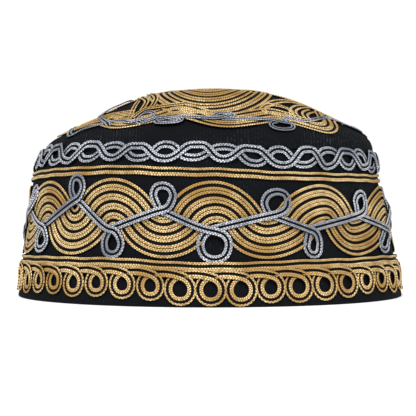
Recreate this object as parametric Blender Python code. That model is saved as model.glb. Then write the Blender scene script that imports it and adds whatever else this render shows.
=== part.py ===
"""A prayer cap: a tapered band and a soft domed crown of ribbed black cloth, laid with soutache braid.

Gold braid makes the loops and the line at the rim, the bundle of waves round the band, the line below
the shoulder, and the waves, petals, eyes and knot of the crown. Silver-grey braid makes the looped vine
on the band, the looped vine on the crown and the two-strand plait that hides the seam.

Sizes are in metres, +Z is up and the rim rests on z = 0. The cap is longer along X than along Y. A place
on the cloth is given by the angle round the cap, from the middle of the long side at -Y towards +X, by
the distance s up the cloth from the rim, and by the lift above the cloth.
"""

import math
from collections import namedtuple

import bmesh
import bpy
from mathutils import Vector

# The empty that holds the pieces.
CAP = "prayer_cap"

# The cloth's outer shape, its thickness and its seam.
RIM_HALF_LENGTH = 0.0950
OVAL = 0.926
WALL_TAPER = 0.19
WALL_HEIGHT = 0.0684
CROWN_LENGTH = 0.0900
BAND_THICKNESS = 0.0018
CROWN_THICKNESS = 0.0014
SEAM_GAP = 0.0003

# Braid sizes, and how high the underside of a braid lies above the cloth.
BRAID_WIDTH = 0.0034
BRAID_THICKNESS = 0.0008
ON_CLOTH = 0.0004
ON_CROWN = 0.0006
OVER_BUNDLE = 0.0015
OVER_VINE = 0.0026
SECOND_LAYER = 0.0001

# Distances up the cloth, and the mean radius at which each row is laid out flat.
RIM_LOOP_RISE = 0.0083
RIM_LINE_RISE = 0.0184
TOP_LINE_RISE = 0.0586
PLAIT_RISE = 0.0672
RIM_FLAT_RADIUS = 0.0900
BAND_FLAT_RADIUS = 0.0850
PLAIT_FLAT_RADIUS = 0.0797

# How often each pattern repeats round the cap, and the angle at which it starts.
CLOTH_STATIONS = 48
RIM_LOOPS = 44
WAVES = 12
WAVE_START = math.radians(2.3)
PLAIT_WAVES = 20
PLAIT_START = math.radians(-4.0)
CROWN_WAVES = 9
CROWN_WAVE_START = math.radians(5.0)
PETALS = 5
PETAL_START = math.radians(0.4)

# Rim loops: a scalloped row, pierced with a round hole in each loop.
RIM_LOOP_HOLE = 0.0034
RIM_LOOP_OUTER = 0.0065
RIM_LOOP_NOTCH = -0.0010
RIM_LOOP_TOP = 0.0079
RIM_LOOP_THICKNESS = 0.0017
RIM_LOOP_SIDES = 8

# Band waves: arcs of one bundle of five braids, centred low under each crest and high over each trough.
CREST_CENTRE_RISE = 0.0322
TROUGH_CENTRE_RISE = 0.0438
BUNDLE_HALF_WIDTH = 0.0104
ARC_STEPS = 4

# Plait: two strands that swing across the seam, one low on the cloth and the other high on top of it.
PLAIT_SWING = 0.0034
PLAIT_LOW = 0.0004
PLAIT_HIGH = 0.0016

# Crown, laid out flat round the top of the dome: distances from the top, along the cloth.
CROWN_RING_RADIUS = 0.0704
CROWN_RING_SWING = 0.0026
CROWN_RING_HALF_WIDTH = 0.0062
CROWN_RING_STEPS = 8
WAVE_GAP = 0.0008
CROWN_VINE_RADIUS = 0.0705
PETAL_CENTRE = 0.0405
PETAL_RADIUS = 0.0261
PETAL_HOLE = 0.0120
PETAL_STATIONS = 40
EYE_CENTRE = 0.0552
RING_RADIUS = 0.0045
RING_STATIONS = 8

# Where the rings of the meshes lie: shares of the band's height, of the crown's cloth and of a petal's reach.
BAND_RINGS = (0.0, 0.42, 0.84, 1.0)
BAND_LINING_RING = 0.42
CROWN_RINGS = (0.0, 0.05, 0.10, 0.25, 0.41, 0.49, 0.58, 0.78, 1.0)
CROWN_LINING_RINGS = (1.0, 0.70, 0.41, 0.12, 0.0)
PETAL_RINGS = (0.0, 0.28, 0.48, 0.64, 0.80, 1.0)
SHARP_ANGLE = math.radians(35)

# The crown's cloth, from the seam at share 0 to the top at share 1, where it runs to the side and to the
# front: the front falls from a flat top in a steep straight slope, and the side in a longer, gentler one.
Fold = namedtuple("Fold", "share side_out side_height front_out front_height")
FOLDS = (
    Fold(-0.05, 0.0829, 0.0640, 0.0767, 0.0640),
    Fold(0.00, 0.0820, 0.0684, 0.0759, 0.0684),
    Fold(0.05, 0.0812, 0.0728, 0.0745, 0.0725),
    Fold(0.10, 0.0785, 0.0764, 0.0713, 0.0757),
    Fold(0.17, 0.0728, 0.0799, 0.0665, 0.0794),
    Fold(0.25, 0.0656, 0.0835, 0.0612, 0.0838),
    Fold(0.33, 0.0590, 0.0867, 0.0559, 0.0882),
    Fold(0.41, 0.0525, 0.0898, 0.0506, 0.0924),
    Fold(0.49, 0.0461, 0.0926, 0.0449, 0.0958),
    Fold(0.58, 0.0386, 0.0954, 0.0372, 0.0979),
    Fold(0.70, 0.0279, 0.0977, 0.0268, 0.0991),
    Fold(0.85, 0.0140, 0.0994, 0.0134, 0.0998),
    Fold(1.00, 0.0000, 0.1000, 0.0000, 0.1000),
)

# The soft cloth leans: its middle sits a little to the left and its top a little to the right.
Sway = namedtuple("Sway", "height shift")
SWAYS = (
    Sway(0.000, 0.0000),
    Sway(0.030, -0.0008),
    Sway(0.057, -0.0020),
    Sway(0.069, -0.0008),
    Sway(0.085, 0.0018),
    Sway(0.110, 0.0025),
)

# The braid was laid by hand: how far it strays up near the rim line and near the top line, and outwards
# on the crown.
Stray = namedtuple("Stray", "angle_deg low high crown")
STRAYS = (
    Stray(-180, 0.0, 0.0, 0.0),
    Stray(-90, 0.0, 0.0, 0.0),
    Stray(-60, 0.0003, 0.0010, 0.0010),
    Stray(-32, 0.0007, 0.0014, -0.0019),
    Stray(2, -0.0010, -0.0002, -0.0003),
    Stray(28, 0.0000, -0.0016, 0.0013),
    Stray(58, 0.0006, -0.0014, 0.0015),
    Stray(90, 0.0, 0.0, 0.0),
    Stray(180, 0.0, 0.0, 0.0),
)

# The vines' loops that show on the front, left to right. The others are spread evenly round the back.
# The rise of a band loop is its distance up the cloth. That of a crown loop is its distance from the top,
# negative.
VineLoop = namedtuple("VineLoop", "upper angle_deg rise half_width half_height")
BAND_LOOPS = (
    VineLoop(True, -69.0, 0.0505, 0.0036, 0.0044),
    VineLoop(False, -57.5, 0.0262, 0.0040, 0.0042),
    VineLoop(True, -42.8, 0.0522, 0.0036, 0.0050),
    VineLoop(False, -28.3, 0.0266, 0.0042, 0.0041),
    VineLoop(True, -12.6, 0.0482, 0.0043, 0.0041),
    VineLoop(False, 1.4, 0.0272, 0.0056, 0.0059),
    VineLoop(True, 20.4, 0.0480, 0.0053, 0.0044),
    VineLoop(False, 30.7, 0.0268, 0.0032, 0.0041),
    VineLoop(True, 51.5, 0.0485, 0.0041, 0.0042),
    VineLoop(False, 64.5, 0.0262, 0.0038, 0.0040),
)
BACK_BAND_LOOPS = (VineLoop(True, 0.0, 0.0485, 0.0043, 0.0042), VineLoop(False, 0.0, 0.0266, 0.0043, 0.0042))
CROWN_LOOPS = (
    VineLoop(False, -72.0, -0.0790, 0.0044, 0.0024),
    VineLoop(True, -57.0, -0.0640, 0.0042, 0.0026),
    VineLoop(False, -44.0, -0.0752, 0.0050, 0.0022),
    VineLoop(True, -28.6, -0.0675, 0.0040, 0.0028),
    VineLoop(False, -15.8, -0.0738, 0.0050, 0.0022),
    VineLoop(True, 2.9, -0.0684, 0.0046, 0.0026),
    VineLoop(False, 24.6, -0.0762, 0.0056, 0.0034),
    VineLoop(True, 54.0, -0.0640, 0.0036, 0.0026),
    VineLoop(False, 70.0, -0.0748, 0.0046, 0.0026),
)
BACK_CROWN_LOOPS = (
    VineLoop(True, 0.0, -0.0662, 0.0044, 0.0026),
    VineLoop(False, 0.0, -0.0748, 0.0044, 0.0026),
)
BACK_CROWN_COUNT = 11
NECK = 0.0023
NECK_SLANT = 0.0006
BAND_VINE_STEPS = (1, 2, 2, 1, 2)
CROWN_VINE_STEPS = (1, 1, 2, 1, 2)

# Sizes that follow from the ones above.
LEAN = math.atan(WALL_TAPER)
WALL_LENGTH = WALL_HEIGHT / math.cos(LEAN)
CLOTH_LENGTH = WALL_LENGTH + CROWN_LENGTH
EVENING = (1 - OVAL) / (1 + OVAL) / 2


def eased(rows, key, column, at):
    """A column of a table at a value of its key column, smoothly between the rows."""
    for low, high in zip(rows, rows[1:]):
        start, end = getattr(low, key), getattr(high, key)
        if start <= at <= end:
            share = (at - start) / (end - start)
            share = share * share * (3 - 2 * share)
            return getattr(low, column) * (1 - share) + getattr(high, column) * share
    return getattr(rows[0] if at < getattr(rows[0], key) else rows[-1], column)


def curved(rows, key, column, at):
    """A column of a table at a value of its key column, along a smooth curve through the rows."""
    last = len(rows) - 1
    row = next((k for k in range(last) if at <= getattr(rows[k + 1], key)), last - 1)

    def slope(k):
        low, high = rows[max(k - 1, 0)], rows[min(k + 1, last)]
        return (getattr(high, column) - getattr(low, column)) / (getattr(high, key) - getattr(low, key))

    start, end = rows[row], rows[row + 1]
    width = getattr(end, key) - getattr(start, key)
    t = (at - getattr(start, key)) / width
    return (
        (2 * t**3 - 3 * t**2 + 1) * getattr(start, column)
        + (t**3 - 2 * t**2 + t) * width * slope(row)
        + (3 * t**2 - 2 * t**3) * getattr(end, column)
        + (t**3 - t**2) * width * slope(row + 1)
    )


def cloth(angle, s):
    """A point on the cloth's outer face."""
    turn = angle - EVENING * math.sin(2 * angle)
    across, along = math.sin(turn), math.cos(turn)
    if s <= WALL_LENGTH:
        out = RIM_HALF_LENGTH - s * math.sin(LEAN)
        depth, height = OVAL * out, s * math.cos(LEAN)
    else:
        columns = ("side_out", "side_height", "front_out", "front_height")
        share = (s - WALL_LENGTH) / CROWN_LENGTH
        out, side_height, depth, front_height = (curved(FOLDS, "share", column, share) for column in columns)
        height = side_height * across**2 + front_height * along**2
    sway = eased(SWAYS, "height", "shift", height)
    return Vector((out * across + sway, -depth * along, height))


def off_cloth(angle, s, lift):
    """A point at that lift above the cloth's outer face, or inside it where lift is negative."""
    reach = 0.0002
    if s > CLOTH_LENGTH - reach:
        return cloth(angle, s) + Vector((0, 0, lift))
    along = cloth(angle + reach, s) - cloth(angle - reach, s)
    upward = cloth(angle, s + reach) - cloth(angle, s - reach)
    return cloth(angle, s) + along.cross(upward).normalized() * lift


def signed_degrees(angle):
    """An angle in degrees, between -180 and 180."""
    return math.degrees((angle + math.pi) % (2 * math.pi) - math.pi)


def stray(angle, s):
    """How far braid laid at this place strays up the cloth."""
    degrees = signed_degrees(angle)
    share = min(1.0, max(0.0, (s - RIM_LINE_RISE) / (TOP_LINE_RISE - RIM_LINE_RISE)))
    low = eased(STRAYS, "angle_deg", "low", degrees)
    high = eased(STRAYS, "angle_deg", "high", degrees)
    return low * (1 - share) + high * share


def on_band(flat_radius):
    """Wraps a flat strip, x round the cap and y up the cloth, at the scale of one radius."""

    def wrap(x, y, lift):
        angle = x / flat_radius
        return off_cloth(angle, y + stray(angle, y), lift)

    return wrap


def polar(angle, radius):
    """A flat point on the crown's sheet, at an angle round from the front."""
    return radius * math.sin(angle), -radius * math.cos(angle)


def on_crown(x, y, lift):
    """Wraps the flat round sheet whose middle is the top of the dome and whose -y is the front."""
    return off_cloth(math.atan2(x, -y), CLOTH_LENGTH - math.hypot(x, y), lift)


def finish(name, colour, roughness):
    """A plain material."""
    made = bpy.data.materials.new(name)
    made.use_nodes = True
    shader = made.node_tree.nodes["Principled BSDF"]
    shader.inputs["Base Color"].default_value = (*colour, 1)
    shader.inputs["Roughness"].default_value = roughness
    shader.inputs["Metallic"].default_value = 0.0
    made.diffuse_color = (*colour, 1)
    return made


def add_object(name, bm, material):
    """Joins the mesh where its ends meet and adds it as one named object."""
    bmesh.ops.remove_doubles(bm, verts=bm.verts, dist=1e-6)
    bare = [edge for edge in bm.edges if not edge.link_faces]
    bmesh.ops.delete(bm, geom=bare, context="EDGES")
    bmesh.ops.triangulate(bm, faces=bm.faces, quad_method="SHORT_EDGE")
    bmesh.ops.recalc_face_normals(bm, faces=bm.faces)
    mesh = bpy.data.meshes.new(name)
    bm.to_mesh(mesh)
    bm.free()
    mesh.materials.append(material)
    mesh.shade_smooth()
    mesh.set_sharp_from_angle(angle=SHARP_ANGLE)
    piece = bpy.data.objects.new(name, mesh)
    piece.parent = bpy.data.objects[CAP]
    bpy.context.scene.collection.objects.link(piece)


def add_ring(name, stations, corners, place, material):
    """Adds a closed ring: a grid of stations by section corners, bent until its edges meet."""
    bm = bmesh.new()
    bmesh.ops.create_grid(bm, x_segments=stations, y_segments=corners, size=1)
    for vert in bm.verts:
        station = round((vert.co.x + 1) / 2 * stations) % stations
        corner = round((vert.co.y + 1) / 2 * corners) % corners
        vert.co = place(station, corner)
    add_object(name, bm, material)


def add_strand(name, path, section, wrap, material, lap=0.0):
    """Adds braid along a closed flat path of (x, y, lift), with a section of (across, up) corners.

    lap is how far along x the path has come when it meets itself again.
    """

    def point(index):
        laps, inside = divmod(index, len(path))
        x, y, lift = path[inside]
        return x + laps * lap, y, lift

    def place(station, corner):
        before, here, after = (point(station + step) for step in (-1, 0, 1))
        run_x, run_y = after[0] - before[0], after[1] - before[1]
        run = math.hypot(run_x, run_y)
        across, up = section[corner]
        return wrap(here[0] - run_y / run * across, here[1] + run_x / run * across, here[2] + up)

    add_ring(name, len(path), len(section), place, material)


def flat_section(half_width, thickness, inner_corners=0):
    """Corners of a flat section. Inner corners let a wide one follow the round cloth."""
    shares = [1 - 2 * k / (inner_corners + 1) for k in range(inner_corners + 2)]
    low = [(half_width * share, 0.0) for share in shares]
    high = [(half_width * share, thickness) for share in reversed(shares)]
    return low + high


BRAID_SECTION = flat_section(BRAID_WIDTH / 2, BRAID_THICKNESS)


def smoothed(points, steps):
    """A smooth closed curve through (x, y, lift) points, steps[i] points of it from point i on."""
    smooth = []
    count = len(points)
    for i in range(count):
        before, start, end, after = (points[(i + k) % count] for k in (-1, 0, 1, 2))
        parts = steps[i % len(steps)]
        for step in range(parts):
            t = step / parts
            x, y = (
                start[c]
                + (end[c] - before[c]) * t / 2
                + (2 * before[c] - 5 * start[c] + 4 * end[c] - after[c]) * t**2 / 2
                + (3 * start[c] - before[c] - 3 * end[c] + after[c]) * t**3 / 2
                for c in (0, 1)
            )
            smooth.append((x, y, start[2] * (1 - t) + end[2] * t))
    return smooth


def add_band_cloth(material):
    """The stiff tapered side, whose lower edge is flat and rests on the ground."""
    top = WALL_LENGTH - SEAM_GAP
    inner_edge = BAND_THICKNESS * WALL_TAPER
    outer = [(top * share, 0.0) for share in BAND_RINGS]
    inner = [(s, -BAND_THICKNESS) for s in (top, top * BAND_LINING_RING, inner_edge)]
    section = outer + inner

    on_ground = (0, len(section) - 1)

    def place(station, corner):
        spot = off_cloth(2 * math.pi * station / CLOTH_STATIONS, *section[corner])
        if corner in on_ground:
            spot.z = 0.0
        return spot

    add_ring("side_band", CLOTH_STATIONS, len(section), place, material)


def add_crown_cloth(material):
    """The soft dome, sewn edge to edge to the band under the plait."""
    section = [(WALL_LENGTH + CROWN_LENGTH * share, 0.0) for share in CROWN_RINGS]
    section += [(WALL_LENGTH + CROWN_LENGTH * share, -CROWN_THICKNESS) for share in CROWN_LINING_RINGS]

    def place(station, corner):
        return off_cloth(2 * math.pi * station / CLOTH_STATIONS, *section[corner])

    add_ring("crown", CLOTH_STATIONS, len(section), place, material)


def add_rim_loops(material):
    """The gold loops at the rim: a flat net of cells with a hole in each, wrapped and then thickened."""
    pitch = 2 * math.pi * RIM_FLAT_RADIUS / RIM_LOOPS
    slant = RIM_LOOP_OUTER * math.sqrt(0.5)
    outline = [
        (pitch / 2, RIM_LOOP_NOTCH),
        (pitch / 2, RIM_LOOP_TOP),
        (0.0, RIM_LOOP_TOP),
        (-pitch / 2, RIM_LOOP_TOP),
        (-pitch / 2, RIM_LOOP_NOTCH),
        (-slant, -slant),
        (0.0, -RIM_LOOP_OUTER),
        (slant, -slant),
    ]
    turns = [2 * math.pi * k / RIM_LOOP_SIDES for k in range(RIM_LOOP_SIDES)]
    hole = [(RIM_LOOP_HOLE * math.cos(turn), RIM_LOOP_HOLE * math.sin(turn)) for turn in turns]
    wrap = on_band(RIM_FLAT_RADIUS)
    bm = bmesh.new()
    flat_place = bm.verts.layers.float_vector.new("flat_place")

    def add_vert(loop, corner):
        x, y = loop * pitch + corner[0], RIM_LOOP_RISE + corner[1]
        vert = bm.verts.new(wrap(x, y, ON_CLOTH))
        vert[flat_place] = (x, y, ON_CLOTH)
        return vert

    for loop in range(RIM_LOOPS):
        inside = [add_vert(loop, corner) for corner in hole]
        outside = [add_vert(loop, corner) for corner in outline]
        for k in range(RIM_LOOP_SIDES):
            after = (k + 1) % RIM_LOOP_SIDES
            bm.faces.new((inside[k], outside[k], outside[after], inside[after]))
    bmesh.ops.remove_doubles(bm, verts=bm.verts, dist=1e-6)
    raised = bmesh.ops.extrude_face_region(bm, geom=bm.faces[:], use_keep_orig=True)
    for item in raised["geom"]:
        if isinstance(item, bmesh.types.BMVert):
            x, y, lift = item[flat_place]
            item.co = wrap(x, y, lift + RIM_LOOP_THICKNESS)
    add_object("rim_loops", bm, material)


def add_braid_line(name, rise, flat_radius, material):
    """A line of braid straight round the cap."""
    girth = 2 * math.pi * flat_radius
    path = [(girth * k / CLOTH_STATIONS, rise, ON_CLOTH) for k in range(CLOTH_STATIONS)]
    add_strand(name, path, BRAID_SECTION, on_band(flat_radius), material, girth)


def add_wave_braids(material):
    """Five gold braids sewn side by side into one band that waves round the cap."""
    girth = 2 * math.pi * BAND_FLAT_RADIUS
    half = girth / 2 / WAVES
    climb = TROUGH_CENTRE_RISE - CREST_CENTRE_RISE
    radius = math.hypot(half, climb) / 2
    tilt = math.atan2(climb, half)
    sweep = (math.pi - 2 * tilt) / ARC_STEPS
    path = []
    for wave in range(WAVES):
        crest = WAVE_START * BAND_FLAT_RADIUS + 2 * half * wave
        for step in range(ARC_STEPS):
            turn = math.pi - tilt - sweep * step
            x, y = crest + radius * math.cos(turn), CREST_CENTRE_RISE + radius * math.sin(turn)
            path.append((x, y, ON_CLOTH))
        for step in range(ARC_STEPS):
            turn = math.pi + tilt + sweep * step
            x, y = crest + half + radius * math.cos(turn), TROUGH_CENTRE_RISE + radius * math.sin(turn)
            path.append((x, y, ON_CLOTH))
    section = flat_section(BUNDLE_HALF_WIDTH, BRAID_THICKNESS, inner_corners=1)
    add_strand("wave_braids", path, section, on_band(BAND_FLAT_RADIUS), material, girth)


def loop_points(loop, x, low_lift):
    """Points of one vine loop, in over its neck, round it and out under the neck."""
    side = 1 if loop.upper else -1
    neck = -side * (loop.half_height + NECK)
    high_lift = low_lift + OVER_VINE - OVER_BUNDLE
    return [
        (x - NECK_SLANT, loop.rise + neck, high_lift),
        (x + loop.half_width, loop.rise, (high_lift + low_lift) / 2),
        (x, loop.rise + side * loop.half_height, low_lift),
        (x - loop.half_width, loop.rise, low_lift),
        (x + NECK_SLANT, loop.rise + neck, low_lift),
    ]


def all_loops(front, back, hidden):
    """All of a vine's loops in order: the front ones as seen, then evenly spaced ones round the back."""
    first, last = front[0].angle_deg, front[-1].angle_deg
    gap = (360 + first - last) / (hidden + 1)
    return list(front) + [back[k % 2]._replace(angle_deg=last + gap * (k + 1)) for k in range(hidden)]


def add_band_vine(material):
    """The silver braid that loops above the troughs and below the crests of the gold waves."""
    girth = 2 * math.pi * BAND_FLAT_RADIUS
    points = []
    for loop in all_loops(BAND_LOOPS, BACK_BAND_LOOPS, 2 * WAVES - len(BAND_LOOPS)):
        points += loop_points(loop, math.radians(loop.angle_deg) * BAND_FLAT_RADIUS, OVER_BUNDLE)
    one_loop = len(BAND_VINE_STEPS)
    lead_in = [(x - girth, y, lift) for x, y, lift in points[-one_loop:]]
    lead_out = [(x + girth, y, lift) for x, y, lift in points[:one_loop]]
    smooth = smoothed(lead_in + points + lead_out, BAND_VINE_STEPS)
    path = smooth[sum(BAND_VINE_STEPS) : -sum(BAND_VINE_STEPS)]
    add_strand("band_vine", path, BRAID_SECTION, on_band(BAND_FLAT_RADIUS), material, girth)


def add_plait_strand(name, side, lift, material):
    """One strand of the plait. The strands, of side 1 and -1, swing in opposition."""
    girth = 2 * math.pi * PLAIT_FLAT_RADIUS
    path = []
    for quarter in range(4 * PLAIT_WAVES):
        angle = PLAIT_START + 2 * math.pi * (quarter + 0.5) / 4 / PLAIT_WAVES
        swing = PLAIT_SWING if quarter % 4 in (0, 3) else -PLAIT_SWING
        path.append((angle * PLAIT_FLAT_RADIUS, PLAIT_RISE + side * swing, lift))
    add_strand(name, path, BRAID_SECTION, on_band(PLAIT_FLAT_RADIUS), material, girth)


def crown_ring_radius(angle):
    """Distance from the top to the middle of the crown's waves, which stray where they were laid by hand."""
    swing = CROWN_RING_SWING * math.cos(CROWN_WAVES * (angle - CROWN_WAVE_START))
    return CROWN_RING_RADIUS + swing + eased(STRAYS, "angle_deg", "crown", signed_degrees(angle))


def add_crown_waves(material):
    """Three gold braids side by side, waving round the crown."""
    stations = CROWN_WAVES * CROWN_RING_STEPS
    angles = [CROWN_WAVE_START + 2 * math.pi * station / stations for station in range(stations)]
    path = [(*polar(angle, crown_ring_radius(angle)), ON_CROWN) for angle in angles]
    add_strand("crown_waves", path, flat_section(CROWN_RING_HALF_WIDTH, BRAID_THICKNESS), on_crown, material)


def add_crown_vine(material):
    """The silver braid that loops in and out over the crown's waves."""
    low_lift = ON_CROWN - ON_CLOTH + OVER_BUNDLE + SECOND_LAYER
    points = []
    for loop in all_loops(CROWN_LOOPS, BACK_CROWN_LOOPS, BACK_CROWN_COUNT):
        for x, y, lift in loop_points(loop, math.radians(loop.angle_deg) * CROWN_VINE_RADIUS, low_lift):
            points.append((*polar(x / CROWN_VINE_RADIUS, -y), lift))
    add_strand("crown_vine", smoothed(points, CROWN_VINE_STEPS), BRAID_SECTION, on_crown, material)


def petal_reach(angle):
    """Distance from the top to the outline of the round petals, which overlap and stop at the waves."""
    pitch = 2 * math.pi / PETALS
    off = (angle - PETAL_START + pitch / 2) % pitch - pitch / 2
    aside = PETAL_CENTRE * math.sin(off)
    outline = PETAL_CENTRE * math.cos(off) + math.sqrt(PETAL_RADIUS**2 - aside**2)
    return min(outline, crown_ring_radius(angle) - CROWN_RING_HALF_WIDTH - WAVE_GAP)


def add_crown_petals(material):
    """The overlapping petals of gold braid, as one plate with a hole round the knot."""
    section = [(share, 0.0) for share in reversed(PETAL_RINGS)]
    section += [(share, BRAID_THICKNESS) for share in PETAL_RINGS]

    def place(station, corner):
        angle = PETAL_START + 2 * math.pi * station / PETAL_STATIONS
        share, up = section[corner]
        radius = PETAL_HOLE + (petal_reach(angle) - PETAL_HOLE) * share
        return on_crown(*polar(angle, radius), ON_CROWN + up)

    add_ring("crown_petals", PETAL_STATIONS, len(section), place, material)


def add_small_ring(name, centre, material):
    """A small ring of braid on the crown."""
    path = []
    for k in range(RING_STATIONS):
        x, y = polar(2 * math.pi * k / RING_STATIONS, RING_RADIUS)
        path.append((centre[0] + x, centre[1] + y, ON_CROWN))
    add_strand(name, path, BRAID_SECTION, on_crown, material)


def build():
    for old in list(bpy.data.objects):
        bpy.data.objects.remove(old)
    bpy.context.scene.collection.objects.link(bpy.data.objects.new(CAP, None))
    black = finish("black_cloth", (0.010, 0.011, 0.014), 0.9)
    gold = finish("gold_braid", (0.58, 0.33, 0.115), 0.55)
    silver = finish("silver_braid", (0.29, 0.32, 0.38), 0.55)
    add_band_cloth(black)
    add_crown_cloth(black)
    add_rim_loops(gold)
    add_braid_line("rim_line", RIM_LINE_RISE, RIM_FLAT_RADIUS, gold)
    add_wave_braids(gold)
    add_band_vine(silver)
    add_braid_line("top_line", TOP_LINE_RISE, BAND_FLAT_RADIUS, gold)
    add_plait_strand("plait_strand_a", 1, PLAIT_HIGH, silver)
    add_plait_strand("plait_strand_b", -1, PLAIT_LOW, silver)
    add_crown_waves(gold)
    add_crown_vine(silver)
    add_crown_petals(gold)
    for k in range(PETALS):
        angle = PETAL_START + 2 * math.pi * (k + 0.5) / PETALS
        add_small_ring(f"crown_eye_{k + 1}", polar(angle, EYE_CENTRE), gold)
    add_small_ring("crown_knot", (0.0, 0.0), gold)


build()
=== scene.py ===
# %% [markdown]
# A prayer cap of ribbed black cloth, laid with gold and silver soutache.
#
# Soutache is a flat braid with two ribs and a dark groove between them, through which it is sewn down.
# Nearly all that the eye sees on this cap is that one braid, so the lesson is mostly about laying a braid
# along a drawn line on a curved cloth. The CAD model is loaded first, because every piece takes the place
# of one of its solids.

# %% Load the frame
import math
from collections import namedtuple

import bmesh
import bpy
import numpy as np
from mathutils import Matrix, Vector


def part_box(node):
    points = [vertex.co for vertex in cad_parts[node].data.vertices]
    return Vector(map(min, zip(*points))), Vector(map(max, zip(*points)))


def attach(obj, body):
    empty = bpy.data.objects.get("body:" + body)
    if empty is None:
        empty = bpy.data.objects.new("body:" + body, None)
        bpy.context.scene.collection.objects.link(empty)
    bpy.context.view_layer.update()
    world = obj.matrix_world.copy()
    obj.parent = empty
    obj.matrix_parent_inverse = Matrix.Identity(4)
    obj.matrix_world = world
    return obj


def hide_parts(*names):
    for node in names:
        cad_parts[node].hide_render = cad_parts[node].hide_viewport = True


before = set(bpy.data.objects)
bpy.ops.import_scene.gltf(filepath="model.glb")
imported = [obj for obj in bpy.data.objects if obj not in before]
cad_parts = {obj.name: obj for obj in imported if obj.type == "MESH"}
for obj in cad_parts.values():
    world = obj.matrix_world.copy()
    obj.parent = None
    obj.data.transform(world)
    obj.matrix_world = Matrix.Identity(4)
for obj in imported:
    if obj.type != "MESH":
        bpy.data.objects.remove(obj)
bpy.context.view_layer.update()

MM = 0.001

# %% [markdown]
# The camera looks at the long side of the cap from a little above the table, as in the photograph. A long
# lens keeps the sides from spreading. The image is square, so one focal length in pixels gives the lens,
# and the row of the horizon gives the tilt. Both could be set in millimetres and degrees, but pixels are
# what a picture shows.

# %% Camera
IMAGE_WIDTH = 416
FOCAL_PIXELS = 1098
HORIZON_ROW = 220
SENSOR_WIDTH = 36
CAMERA_PLACE = (-0.8 * MM, -552 * MM, 37 * MM)

camera_data = bpy.data.cameras.new("camera")
camera_data.sensor_width = SENSOR_WIDTH
camera_data.lens = FOCAL_PIXELS / IMAGE_WIDTH * SENSOR_WIDTH
camera = bpy.data.objects.new("camera", camera_data)
camera.location = CAMERA_PLACE
camera.rotation_euler = (math.pi / 2 + math.atan((HORIZON_ROW - IMAGE_WIDTH / 2) / FOCAL_PIXELS), 0, 0)
bpy.context.scene.collection.objects.link(camera)
bpy.context.scene.camera = camera
print("lens in mm:", round(camera_data.lens, 1))

# %% [markdown]
# The cloth is one smooth surface: a leaning wall, oval in plan, and a soft crown that is flat on top. Its
# face is described by a formula, so that cloth and braid can both be placed on it. A point is given by its
# angle round the cap from the middle of the front, and by the distance up the cloth from the rim. The rim's
# length, the oval and the height of the top come from the frame. The wall's lean and height are the CAD's
# own values. Short tables say how the crown folds, how the soft cloth leans to one side, and where the wall
# bulges. It could be sculpted, but then the braid would have nothing exact to follow.

# %% The cloth's face
rim_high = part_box("side_band")[1]
crown_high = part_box("crown")[1]
RIM_HALF_LENGTH = rim_high.x
OVAL = rim_high.y / rim_high.x
TOP_HEIGHT = crown_high.z
WALL_TAPER = 0.19
WALL_HEIGHT = 68.4 * MM
CROWN_LENGTH = 90 * MM
BAND_THICKNESS = 1.8 * MM
CROWN_THICKNESS = 1.4 * MM
LEAN = math.atan(WALL_TAPER)
WALL_LENGTH = WALL_HEIGHT / math.cos(LEAN)
CLOTH_LENGTH = WALL_LENGTH + CROWN_LENGTH
EVENING = (1 - OVAL) / (1 + OVAL) / 2

Sway = namedtuple("Sway", "height shift")
SWAYS = (Sway(0, 0.2), Sway(30, -0.2), Sway(57, -2.0), Sway(69, -0.8), Sway(82, 2.2), Sway(110, 1.8))

Bulge = namedtuple("Bulge", "height out")
BULGES = (Bulge(0, 0.3), Bulge(34, 0.4), Bulge(52, 1.5), Bulge(62, 1.3), Bulge(74, 0.2), Bulge(110, 0.0))

Fold = namedtuple("Fold", "share side_out side_height front_out front_height")
FOLDS = (
    Fold(-0.05, 82.9, 64.0, 76.7, 64.0),
    Fold(0.00, 82.0, 68.4, 75.9, 68.4),
    Fold(0.05, 81.2, 72.8, 74.5, 72.5),
    Fold(0.10, 78.5, 76.4, 71.3, 75.7),
    Fold(0.17, 72.8, 79.9, 66.5, 79.4),
    Fold(0.25, 65.6, 83.5, 61.2, 83.8),
    Fold(0.33, 59.0, 86.7, 55.9, 88.2),
    Fold(0.41, 52.5, 89.8, 50.6, 92.4),
    Fold(0.49, 46.1, 92.6, 44.9, 95.8),
    Fold(0.58, 38.6, 95.4, 37.2, 97.9),
    Fold(0.70, 27.9, 97.7, 26.8, 99.1),
    Fold(0.85, 14.0, 99.7, 13.4, 100.0),
    Fold(1.00, 0.0, 1000 * TOP_HEIGHT, 0.0, 1000 * TOP_HEIGHT),
)


def columns(rows, key, column):
    return np.array([getattr(row, key) for row in rows]), np.array([getattr(row, column) for row in rows])


def eased(rows, key, column, at):
    """A column of a table at values of its key column, level at each row and smooth between the rows."""
    keys, values = columns(rows, key, column)
    row = np.clip(np.searchsorted(keys, at) - 1, 0, len(keys) - 2)
    t = np.clip((at - keys[row]) / (keys[row + 1] - keys[row]), 0, 1)
    t = t * t * (3 - 2 * t)
    return values[row] * (1 - t) + values[row + 1] * t


def curved(rows, key, column, at):
    """A column of a table at values of its key column, along a smooth curve through the rows."""
    keys, values = columns(rows, key, column)
    last = len(keys) - 1
    below, above = np.maximum(np.arange(last + 1) - 1, 0), np.minimum(np.arange(last + 1) + 1, last)
    slopes = (values[above] - values[below]) / (keys[above] - keys[below])
    row = np.clip(np.searchsorted(keys, at) - 1, 0, last - 1)
    width = keys[row + 1] - keys[row]
    t = (at - keys[row]) / width
    return (
        (2 * t**3 - 3 * t**2 + 1) * values[row]
        + (t**3 - 2 * t**2 + t) * width * slopes[row]
        + (3 * t**2 - 2 * t**3) * values[row + 1]
        + (t**3 - t**2) * width * slopes[row + 1]
    )


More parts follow.
